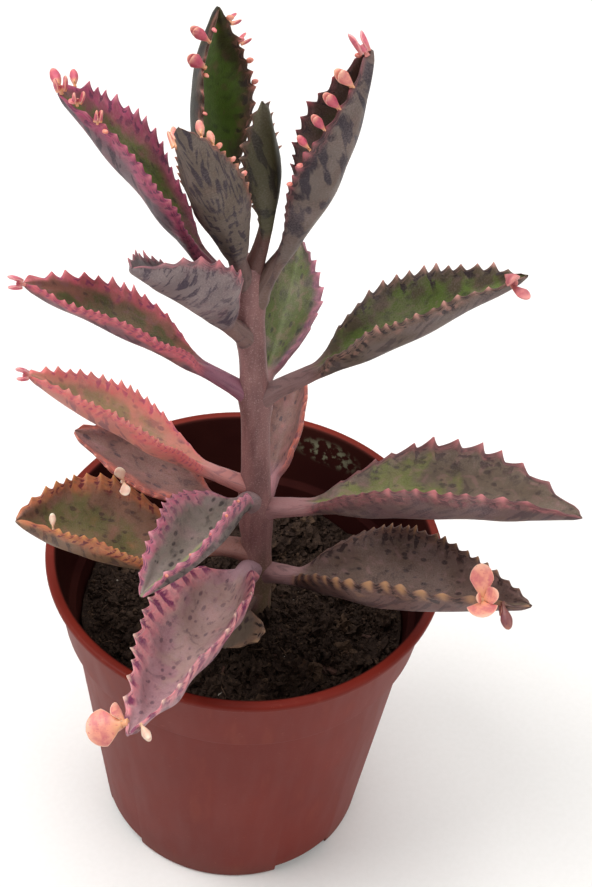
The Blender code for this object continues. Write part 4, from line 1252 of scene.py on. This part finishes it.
def leaf_reading(node):
    """The sockets that the faces and margins of a leaf share. Sizes are in millimetres."""
    place, edges, shares = (
        node("ShaderNodeAttribute", output="Vector", attribute_name=attribute)
        for attribute in ("leaf_place", "leaf_edge", "leaf_share")
    )
    parts = [part for whole in (place, edges, shares) for part in node(SPLIT, {0: whole}, None)]
    noises = [
        node(NOISE, {"Vector": place, "Scale": 1 / size, "Detail": detail, "Distortion": distortion})
        for size, detail, distortion in ((14, 2, 0), (5.5, 3, 0), (1.8, 3, 0), (0.4, 2, 0), (2.4, 3, 0.5))
    ]
    shrunk = node(VECTOR, {0: place, 1: [1 / (2.6 * part) for part in (1.4, 1, 1)]}, **TIMES)
    mottle = node(NOISE, {"Vector": shrunk, "Scale": 1.0, "Detail": 5, "Distortion": 0.6})
    return Reading(place, *parts, *noises, mottle)


def upper_face(node, seen, palette, shades):
    """Colour of the upper face: a patch that fades towards the margins and the ends, and spots."""
    from_middle = node(MATH, {0: seen.along, 1: palette.patch_at}, **MINUS)
    from_middle = node(MATH, {0: from_middle}, operation="ABSOLUTE")
    ends = node(MATH, {0: from_middle, 1: palette.patch_reach}, operation="DIVIDE")
    fading = node(MATH, {0: seen.outer, 1: -0.75, 2: 0.85}, **TIMES_PLUS)
    fading = node(MATH, {0: ends, 1: -0.75, 2: fading}, **TIMES_PLUS)
    lumps = node(MATH, {0: seen.coarse, 1: 0.5}, **MINUS)
    patchy = node(MATH, {0: lumps, 1: 1.7, 2: fading}, **TIMES_PLUS)
    # Spots: cells stretched along the leaf, of which fewer than half hold a soft spot.
    scaled = node(VECTOR, {0: seen.place, 1: (0.34, 0.66, 1.0)}, **TIMES)
    distance, cell = node("ShaderNodeTexVoronoi", {"Vector": scaled, "Scale": 1.0}, None)[:2]
    held, wide, _ = node(SPLIT, {0: cell}, None)
    size = node(MATH, {0: seen.medium, 1: 0.5, 2: -0.25}, **TIMES_PLUS)
    size = node(MATH, {0: wide, 1: -0.22, 2: size}, **TIMES_PLUS)
    dots = node(MATH, {0: distance, 1: size})
    soft = node(RANGE, {0: dots, 1: 0.30, 2: 0.06, 4: palette.spots * 0.85}, **SMOOTH)
    holding = node(RANGE, {0: held, 1: 0.48, 2: 0.62}, **SMOOTH)
    from_rib = node(MATH, {0: seen.across}, operation="ABSOLUTE")
    return coated(node, shades["face"], (
        (patchy, -0.05, 0.38, palette.patches, shades["patch"]),
        (seen.medium, 0.40, 0.75, 0.18, shades["spot"]),
        (seen.broad, 0.50, 0.75, 0.22, shades["rim"]),
        (seen.mottle, 0.53, 0.66, 0.30, shades["stalk"]),
        (seen.mottle, 0.46, 0.32, 0.45, shades["spot"]),
        (node(MATH, {0: soft, 1: holding}, **TIMES), shades["spot"]),
        (from_rib, 0.7, 0.2, palette.rib, linear(HEX["rib"])),
    ))


def underside(node, seen, palette, shades):
    """Colour of the underside: stripes that turn out from the midrib towards the tip. And its veins."""
    from_rib = node(MATH, {0: seen.across}, operation="ABSOLUTE")
    halved = node("ShaderNodeCombineXYZ", {0: seen.level, 1: from_rib, 2: seen.side})
    turn = {"Vector": halved, "Angle": -math.radians(palette.stripe_turn)}
    leaning = node("ShaderNodeVectorRotate", turn, rotation_type="Z_AXIS")
    wide = palette.stripe_width
    # The more the stripes turn, the shorter they are against their width.
    long = 7.0 - 4.2 * min(palette.stripe_turn / 50, 1)
    stretched = node(VECTOR, {0: leaning, 1: [1 / (wide * part) for part in (long, 1, 1)]}, **TIMES)
    veins, blots = (
        node(NOISE, {"Vector": place, "Scale": scale, "Detail": detail, "Distortion": distortion})
        for place, scale, detail, distortion in (
            (stretched, 1.0, 2, 0.25), (seen.place, 1 / (wide * 1.8), 1, 0.3),
        )
    )
    at_foot = node(RANGE, {0: seen.along, 1: 0.55, 2: 0.15, 4: 0.6}, **SMOOTH)
    marked = node(MIX, {0: at_foot, 2: veins, 3: blots})
    return veins, coated(node, shades["under"], (
        (seen.coarse, 0.35, 0.70, 0.50, shades["face"]),
        (marked, 0.50, 0.58, palette.stripes, shades["stripe"]),
    ))


def margin_marks(node, seen, palette):
    """How much the dark marks, partly painted shade, show between or behind the teeth, from the margin
    inwards.
    """
    if palette.behind < 0.5:
        where = node(MATH, {0: 1.0, 1: seen.near_tooth}, **MINUS)
    else:
        where = node(MATH, {0: seen.near_tooth, 1: 0.5}, operation="POWER")
    wider = -1.12 + 0.37 * palette.behind
    regular = node(MATH, {0: where, 1: 0.75 + 0.35 * palette.behind, 2: wider}, **TIMES_PLUS)
    strength = node(MATH, {0: seen.blotch, 1: 2.6 - 1.4 * palette.behind, 2: regular}, **TIMES_PLUS)
    inward = node(MATH, {0: seen.outer, 1: -0.30})
    inward = node(MATH, {0: seen.coarse, 1: 0.6, 2: inward}, **TIMES_PLUS)
    strong = node(RANGE, {0: strength, 1: 0.58, 2: 0.85, 4: palette.marks}, **SMOOTH)
    reaching = node(RANGE, {0: inward, 1: 0.66, 2: 0.86}, **SMOOTH)
    return node(MATH, {0: strong, 1: reaching}, **TIMES)


def leaf_skin(name, palette, leaves):
    """Skin of a kalanchoe leaf: fleshy, waxy and satin, with a faint powdery bloom.

    The upper face has a patch along its middle and scattered spots, the underside has stripes
    along the veins, and at the margins pale teeth, partly a painted highlight, alternate with dark
    marks that run inwards, partly painted shade between the teeth.
    """
    shades = {field: linear(value) for field, value in palette._asdict().items() if str(value)[0] == "#"}
    material, node, shader, _ = skin_material(name)
    seen = leaf_reading(node)
    veins, under = underside(node, seen, palette, shades)
    under_side = node(MATH, {0: seen.side, 1: FACES_APART}, operation="DIVIDE")
    ragged = node(MATH, {0: seen.coarse, 1: 1.3, 2: -0.65}, **TIMES_PLUS)
    ragged = node(MATH, {0: seen.closeness, 1: ragged})
    band = coated(node, shades["rim"], (
        (seen.medium, 0.35, 0.75, 0.60, shades["face"]),
        (seen.mottle, 0.50, 0.68, 0.35, shades["tip"]),
    ))
    # Painted highlight on the teeth, over their own paler colour: the tip colour where a tooth stands out.
    pale = node(RANGE, {0: seen.tooth, 1: 0.40, 2: 0.95, 4: 0.9}, **SMOOTH)
    petiole = coated(node, shades["stalk"], ((veins, 0.52, 0.66, 0.45, shades["stripe"]),))
    powder = node(MATH, {0: seen.broad, 1: 0.7, 2: -0.1}, **TIMES_PLUS)
    powder = node(MATH, {0: seen.fine, 1: 0.5, 2: powder}, **TIMES_PLUS)
    relief = node(MATH, {0: seen.fine, 1: 0.5, 2: seen.medium}, **TIMES_PLUS)
    join(shader, {
        "Base Color": coated(node, upper_face(node, seen, palette, shades), (
            (under_side, under),
            (ragged, 0.10, 0.75, 0.92, band),
            # Dark margin marks: partly the leaf's own colour, partly painted shade between the teeth.
            (margin_marks(node, seen, palette), shades["mark"]),
            # Pale teeth: partly their own colour, partly a painted highlight.
            (node(MATH, {0: pale, 1: seen.near_tooth}, **TIMES), shades["tip"]),
            (seen.stalk, 0.1, 0.9, 1.0, petiole),
            (powder, 0.40, 0.75, palette.bloom * 1.6, leaves.bloom),
        )),
        "Roughness": node(RANGE, {0: seen.medium, 3: 0.42, 4: 0.66}),
        "IOR": 1.42,
        "Specular IOR Level": 0.35,
        "Subsurface Weight": 0.10,
        "Subsurface Radius": (1.0, 0.45, 0.3),
        "Subsurface Scale": 1.0 * MM,
        "Normal": node(BUMP, {"Height": relief, "Distance": 0.15 * MM, "Strength": 0.5}),
    })
    return material


class KALANCHOE_OT_leaves(bpy.types.Operator):
    """Builds the leaves, each with its teeth and the palette that it has grown in the sun"""

    bl_idname = "kalanchoe.leaves"
    bl_label = "Leaves"

    def execute(self, context):
        leaves = context.scene.kalanchoe_leaves
        skins = {name: leaf_skin(name + "_leaf_skin", palette, leaves) for name, palette in PALETTES.items()}
        for number, leaf in enumerate(LEAVES):
            look = LOOKS[leaf.node]
            name = leaf.node.removeprefix("leaf_") + "_leaf"
            piece = new_object(name, leaf_mesh(leaf, look, leaves, number))
            set_material(piece, skins[look.palette])
            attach(piece, "root")
            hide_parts(leaf.node)
        return {"FINISHED"}


# ---------------------------------------------------------------- plantlets and buds


def margin_frame(leaf, side, along):
    """Point on a leaf's margin, the direction out of it in the blade, and the leaf's face direction."""
    known, centres, acrosses, faces = spine(leaf)
    look = LOOKS[leaf.node]
    s = min(leaf.petiole + leaf.blade * along, blade_end(leaf, look) - 0.4 * MM)
    width = float(blunted(leaf, look, np.array([s]))[0]) - 0.25 * MM
    x, y, face_x, face_y = folded(width, float(fold_angle(leaf, s)), np.array([float(side)]))
    centre, across, face = (at(s, known, values) for values in (centres, acrosses, faces))
    point = centre + across * x[0] + face * y[0]
    normal = across * face_x[0] + face * face_y[0]
    outward = (across * face_y[0] - face * face_x[0]) * side
    return point, outward / np.linalg.norm(outward), normal / np.linalg.norm(normal)


def tilted(outward, normal, side, tilt, lean):
    """The way up of a plantlet, turned from a margin to the leaf's face and tip, and its fore direction."""
    tilt, lean = math.radians(tilt), math.radians(lean)
    ahead = side * np.cross(normal, outward)
    up = (outward * math.cos(tilt) + normal * math.sin(tilt)) * math.cos(lean) + ahead * math.sin(lean)
    return up, normal * math.cos(tilt) - outward * math.sin(tilt)


# Leaflets of a plantlet: length, half width and half thickness against its height, the widest
# place along it, spread from its axis and bend inwards in degrees, and turn about its axis.
Leaflet = namedtuple("Leaflet", "length width thick widest spread bend turn")
LEAFLETS = {
    "bean": (
        Leaflet(1.02, 0.25, 0.16, 0.52, 1, 3, 0),
        Leaflet(0.98, 0.24, 0.16, 0.52, 1, 3, 180),
    ),
    "pair": (
        Leaflet(0.88, 0.30, 0.11, 0.58, 16, 20, 0),
        Leaflet(0.76, 0.27, 0.11, 0.56, 15, 18, 180),
        Leaflet(0.34, 0.15, 0.08, 0.50, 8, 8, 90),
    ),
    "claw": (
        Leaflet(0.90, 0.22, 0.13, 0.60, 24, 34, 0),
        Leaflet(0.80, 0.20, 0.13, 0.60, 22, 30, 180),
        Leaflet(0.30, 0.12, 0.08, 0.50, 12, 8, 90),
    ),
    "hook": (
        Leaflet(1.00, 0.22, 0.13, 0.60, 40, 34, 0),
        Leaflet(0.56, 0.30, 0.20, 0.56, 20, 30, 180),
        Leaflet(0.34, 0.18, 0.12, 0.50, 8, 8, 90),
    ),
    "curl": (
        Leaflet(0.95, 0.22, 0.10, 0.55, 8, 46, 0),
        Leaflet(0.52, 0.18, 0.09, 0.55, 34, 20, 180),
        Leaflet(0.40, 0.14, 0.08, 0.50, 20, 10, 90),
    ),
    "spread": (
        Leaflet(1.10, 0.42, 0.12, 0.58, 62, 10, 0),
        Leaflet(1.10, 0.42, 0.12, 0.58, 62, 10, 180),
        Leaflet(0.30, 0.14, 0.08, 0.50, 20, 8, 90),
    ),
    "disc": (
        Leaflet(0.90, 0.46, 0.045, 0.52, 12, 6, 0),
        Leaflet(0.50, 0.26, 0.05, 0.52, 78, 10, 86),
        Leaflet(0.26, 0.12, 0.05, 0.50, 30, 10, 250),
    ),
    "trio": (
        Leaflet(1.05, 0.36, 0.05, 0.56, 66, 12, 0),
        Leaflet(0.62, 0.46, 0.06, 0.50, 62, 10, 185),
        Leaflet(0.60, 0.27, 0.06, 0.54, 54, 14, 285),
        Leaflet(0.36, 0.18, 0.06, 0.54, 20, 14, 90),
    ),
}


def leaflet_mesh(name, leaflet, place):
    """A fleshy, spoon-shaped leaflet a unit plantlet's high, with its hollow face turned inwards."""
    u = np.linspace(0, 1, 28)[:, None]
    turns = round_angles(24)[None, :]
    widest = leaflet.widest
    from_widest = (u - widest) / np.where(u < widest, widest, 1 - widest)
    spoon = np.sqrt(np.clip(1 - from_widest**2, 0, 1)) * np.where(u < widest, 0.4 + 0.6 * u / widest, 1)
    half = leaflet.width * np.maximum(spoon, 0.26 * (1 - u) ** 0.6)
    thick = leaflet.thick * (1.05 - 0.45 * u) * np.sqrt(np.clip(1 - u**5, 0, 1)) + 0.006
    lean = np.radians(leaflet.spread + (8 - leaflet.bend) * u)
    step = leaflet.length / (len(u) - 1)
    out = np.cumsum(np.sin(lean), 0) * step
    up = np.cumsum(np.cos(lean), 0) * step
    wide = np.cos(turns) * half
    cupped = -0.35 * wide**2 / leaflet.width
    deep = np.sin(turns) * thick + cupped
    x, z = out + deep * np.cos(lean) + leaflet.thick * 0.7, up - deep * np.sin(lean) + 0.12
    angle = math.radians(leaflet.turn)
    aside = x * math.sin(angle) + wide * math.cos(angle)
    rings = np.stack([x * math.cos(angle) - wide * math.sin(angle), aside, z + 0 * wide], -1)
    mesh = ring_mesh(name, rings, rings[0].mean(0), rings[-1].mean(0))
    rim = np.maximum(np.abs(np.cos(turns)) ** 6 + 0 * u, u**8)
    set_attribute(mesh, "leaf_place", [np.append((part * place[0] + place[1] + 0 * wide).ravel(), (0, 0))
                                       for part in (u, wide, np.sin(turns) * 0.1)])
    set_attribute(mesh, "leaf_share", [np.append((part + 0 * wide).ravel(), ends)
                                       for part, ends in ((u, (0, 1)), (rim, (0, 1)), (u * 0, (0, 0)))])
    return mesh


def stalk_mesh(name, place):
    """The short foot that a plantlet grows from."""
    u = np.linspace(0, 1, 7)[:, None]
    turns = round_angles(14)[None, :]
    radius = 0.075 + 0.03 * (1 - u) ** 2
    rings = np.stack([radius * np.cos(turns), radius * np.sin(turns), u * 0.22 + 0 * turns], -1)
    mesh = ring_mesh(name, rings, rings[0].mean(0), rings[-1].mean(0))
    ends = np.full(rings[..., 0].size + 2, place[1])
    set_attribute(mesh, "leaf_place", [ends, ends, ends])
    set_attribute(mesh, "leaf_share", [ends * 0, ends * 0, ends * 0])
    return mesh


def plantlet_skin(name, foot, body, centre, rim):
    """Skin of a plantlet: translucent and fleshy, warm at its foot, with a thin pale rim."""
    material, node, shader, _ = skin_material(name)
    place, shares = (
        node("ShaderNodeAttribute", output="Vector", attribute_name=attribute)
        for attribute in ("leaf_place", "leaf_share")
    )
    along, edge, _ = node(SPLIT, {0: shares}, None)
    lumps, dots = (
        node(NOISE, {"Vector": place, "Scale": 1 / size, "Detail": detail})
        for size, detail in ((1.6, 3), (0.7, 1))
    )
    foot, body, centre, rim = (linear(shade) for shade in (foot, body, centre, rim))
    join(shader, {
        "Base Color": coated(node, body, (
            (lumps, 0.35, 0.70, 0.80, centre),
            (along, 0.40, 0.05, 1.00, foot),
            (along, 0.72, 1.00, 0.70, rim),
            (dots, 0.62, 0.70, 0.60, centre),
            (edge, 0.70, 0.98, 0.85, rim),
        )),
        "Roughness": node(RANGE, {0: lumps, 3: 0.32, 4: 0.5}),
        "IOR": 1.42,
        "Subsurface Weight": 0.25,
        "Subsurface Radius": (1.0, 0.4, 0.25),
        "Subsurface Scale": 0.8 * MM,
        "Normal": node(BUMP, {"Height": dots, "Distance": 0.05 * MM, "Strength": 0.4}),
    })
    return material


class KALANCHOE_OT_plantlets(bpy.types.Operator):
    """Builds the plantlets on the margins and tips of the leaves"""

    bl_idname = "kalanchoe.plantlets"
    bl_label = "Plantlets"

    def execute(self, context):
        leaves = {leaf.node: leaf for leaf in LEAVES}
        skins = {
            name: plantlet_skin(name + "_plantlet_skin", *shades)
            for name, shades in PLANTLET_SHADES.items()
        }
        for number, plantlet in enumerate(PLANTLETS):
            point, outward, normal = margin_frame(leaves[plantlet.leaf], plantlet.side, plantlet.along)
            up, fore = tilted(outward, normal, plantlet.side, plantlet.tilt, plantlet.lean)
            name = plantlet.node.removeprefix("plantlet_") + "_plantlet"
            place = (plantlet.size / MM, 20.0 * number)
            shapes = [leaflet_mesh("leaflet", leaflet, place) for leaflet in LEAFLETS[plantlet.shape]]
            mesh = joined(name, [stalk_mesh("stalk", place), *shapes])
            placing = Matrix.Identity(4)
            for column, axis in enumerate((np.cross(fore, up), fore, up, point)):
                for row in range(3):
                    placing[row][column] = axis[row]
            turn = Matrix.Rotation(math.radians(plantlet.turn), 4, "Z")
            mesh.transform(placing @ turn @ Matrix.Scale(plantlet.size, 4))
            piece = new_object(name, mesh)
            set_material(piece, skins[plantlet.look])
            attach(piece, "root")
            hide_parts(plantlet.node)
        return {"FINISHED"}


def bud_mesh():
    """A closed bud a unit high: two leaflets folded together, with a cleft where they meet."""
    u = np.linspace(0, 1, 7)[1:-1, None]
    turns = round_angles(10)[None, :]
    radius = 0.34 * np.sin(math.pi * u**0.8) ** 0.6 * (1 - 0.22 * u * np.abs(np.sin(turns)) ** 6)
    rings = np.stack([radius * np.cos(turns), radius * 0.8 * np.sin(turns), u + 0 * turns], -1)
    return ring_mesh("bud", rings, (0, 0, 0), (0, 0, 0.93))


def margin_buds_tree():
    """Sets a bud on each point, turned along its bud_axis and as high as its bud_size."""
    tree, node, given = geometry_tree("buds_on_margins", {
        "Bud": "Object", "Spread of size": "Float", "Seed": "Int", "Material": "Material",
    })
    axis, size = (
        node("GeometryNodeInputNamedAttribute", {"Name": name}, data_type=kind)
        for name, kind in (("bud_axis", "FLOAT_VECTOR"), ("bud_size", "FLOAT"))
    )
    least = node(MATH, {0: 1.0, 1: given["Spread of size"]}, **MINUS)
    random = node("FunctionNodeRandomValue", {2: least, 3: 1.0, "Seed": given["Seed"]}, 1)
    placed = node("GeometryNodeInstanceOnPoints", {
        "Points": given["Geometry"],
        "Instance": node("GeometryNodeObjectInfo", {"Object": given["Bud"]}, "Geometry"),
        "Rotation": node("FunctionNodeAlignRotationToVector", {"Vector": axis}),
        "Scale": node(MATH, {0: size, 1: random}, **TIMES),
    })
    end_tree(node, placed, given["Material"])
    return tree


def bud_skin():
    """Skin of an unopened bud: waxy coral, orange at its foot in some and pink in others."""
    material, node, shader, place = skin_material("bud_skin")
    island = node("ShaderNodeNewGeometry", output="Random Per Island")
    mottle = node(NOISE, {"Vector": place, "Scale": 1 / (0.8 * MM), "Detail": 3})
    join(shader, {
        "Base Color": coated(node, linear(HEX["bud_pink"]), (
            (island, linear(HEX["bud_orange"])),
            (mottle, 0.45, 0.70, 0.50, linear(HEX["bud_pale"])),
        )),
        "Roughness": node(RANGE, {0: mottle, 3: 0.35, 4: 0.5}),
        "Subsurface Weight": 0.2,
        "Subsurface Radius": (1.0, 0.4, 0.25),
        "Subsurface Scale": 0.6 * MM,
    })
    return material


class KALANCHOE_OT_buds(bpy.types.Operator):
    """Builds the small unopened buds that sit between the teeth"""

    bl_idname = "kalanchoe.buds"
    bl_label = "Margin buds"

    def execute(self, context):
        leaves = {leaf.node: leaf for leaf in LEAVES}
        points, axes, sizes = [], [], []
        for row in BUD_ROWS:
            for along in np.linspace(row.first, row.last, row.count):
                point, outward, normal = margin_frame(leaves[row.leaf], row.side, along)
                points.append(point)
                axes.append(tilted(outward, normal, row.side, row.tilt, 15)[0])
                sizes.append(row.size)
        base = bpy.data.meshes.new("margin_buds")
        base.from_pydata(points, [], [])
        set_attribute(base, "bud_axis", np.array(axes).T)
        base.attributes.new("bud_size", "FLOAT", "POINT").data.foreach_set("value", sizes)
        bud = new_object("bud", bud_mesh())
        skin = bud_skin()
        piece = grown("margin_buds", base, margin_buds_tree(), {
            "Bud": bud, "Spread of size": 0.3, "Seed": 5, "Material": skin,
        })
        piece.data.shade_smooth()
        remove_helpers(bud)
        set_material(piece, skin)
        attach(piece, "root")
        return {"FINISHED"}


# ---------------------------------------------------------------- stage


def soft_light(name, place, aim, size, power):
    """A round white lamp that faces a point."""
    light = bpy.data.lights.new(name, "AREA")
    light.shape = "DISK"
    light.size = size
    light.energy = power
    lamp = new_object(name, light)
    lamp.location = place
    lamp.rotation_euler = (Vector(aim) - Vector(place)).to_track_quat("-Z", "Y").to_euler()


def pale_paper(stage):
    """Matt off-white paper with a faint tooth."""
    material, node, shader, place = skin_material("pale_paper")
    tooth = node(NOISE, {"Vector": place, "Scale": 1 / (1.5 * MM), "Detail": 3})
    shade = coated(node, stage.paper, ((tooth, 0.3, 0.7, 0.25, linear(HEX["paper_shade"])),))
    join(shader, {"Base Color": shade, "Roughness": 0.9})
    return material


class KALANCHOE_OT_stage(bpy.types.Operator):
    """Sets the floor, the soft lights and the camera"""

    bl_idname = "kalanchoe.stage"
    bl_label = "Stage"

    def execute(self, context):
        scene = context.scene
        stage = scene.kalanchoe_stage
        bpy.ops.mesh.primitive_circle_add(vertices=96, radius=stage.floor_radius, fill_type="NGON")
        floor = context.object
        floor.name = "floor"
        floor.data.transform(Matrix.Translation((0, 0, POT_LOW.z - 0.2 * MM)))
        set_material(floor, pale_paper(stage))

        aim = Vector((stage.aim_x, 0, stage.aim_z))
        ahead = Vector((0, math.cos(stage.elevation), -math.sin(stage.elevation)))
        right = Matrix.Rotation(-stage.roll, 3, ahead) @ Vector((1, 0, 0))
        upward = right.cross(ahead)
        lens = bpy.data.cameras.new("camera")
        lens.lens = stage.focal_length
        lens.clip_start = 0.01
        camera = new_object("camera", lens)
        turn = Matrix((right, upward, -ahead)).transposed()
        camera.matrix_world = Matrix.Translation(aim - ahead * stage.distance) @ turn.to_4x4()
        scene.camera = camera

        for name, place, size, power in (
            ("key_light", (-0.7, -0.1, 1.2), 0.9, 13),
            ("fill_light", (1.1, -0.5, 0.9), 1.2, 7),
            ("top_light", (0.1, 0.5, 1.5), 1.2, 10),
        ):
            soft_light(name, place, (0, 0, 0.14), size, power)
        world = bpy.data.worlds.new("pale_room")
        world.use_nodes = True
        back = world.node_tree.nodes["Background"]
        back.inputs["Color"].default_value = linear(HEX["room"])
        back.inputs["Strength"].default_value = 0.45
        scene.world = world
        scene.view_settings.view_transform = "Standard"
        return {"FINISHED"}


# ---------------------------------------------------------------- add-on

OPERATORS = (
    KALANCHOE_OT_pot, KALANCHOE_OT_soil, KALANCHOE_OT_stem, KALANCHOE_OT_leaves,
    KALANCHOE_OT_plantlets, KALANCHOE_OT_buds, KALANCHOE_OT_stage,
)


class KALANCHOE_PT_panel(bpy.types.Panel):
    """Buttons and settings for each piece of the potted kalanchoe"""

    bl_label = "Potted kalanchoe"
    bl_idname = "KALANCHOE_PT_panel"
    bl_space_type = "VIEW_3D"
    bl_region_type = "UI"
    bl_category = "Kalanchoe"

    def draw(self, context):
        for operator in OPERATORS:
            self.layout.operator(operator.bl_idname)
        for name in SETTINGS:
            box = self.layout.box()
            settings = getattr(context.scene, name)
            for field in settings.bl_rna.properties:
                if field.identifier not in ("rna_type", "name"):
                    box.prop(settings, field.identifier)


def register():
    for kind in (*SETTINGS.values(), *OPERATORS, KALANCHOE_PT_panel):
        bpy.utils.register_class(kind)
    for name, kind in SETTINGS.items():
        setattr(bpy.types.Scene, name, bpy.props.PointerProperty(type=kind))


def unregister():
    for name in SETTINGS:
        delattr(bpy.types.Scene, name)
    for kind in (KALANCHOE_PT_panel, *reversed(OPERATORS), *reversed(SETTINGS.values())):
        bpy.utils.unregister_class(kind)


def main():
    """Registers the add-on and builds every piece."""
    register()
    bpy.ops.kalanchoe.stage()
    bpy.ops.kalanchoe.pot()
    bpy.ops.kalanchoe.soil()
    bpy.ops.kalanchoe.stem()
    bpy.ops.kalanchoe.leaves()
    bpy.ops.kalanchoe.plantlets()
    bpy.ops.kalanchoe.buds()


if __name__ == "__main__":
    main()
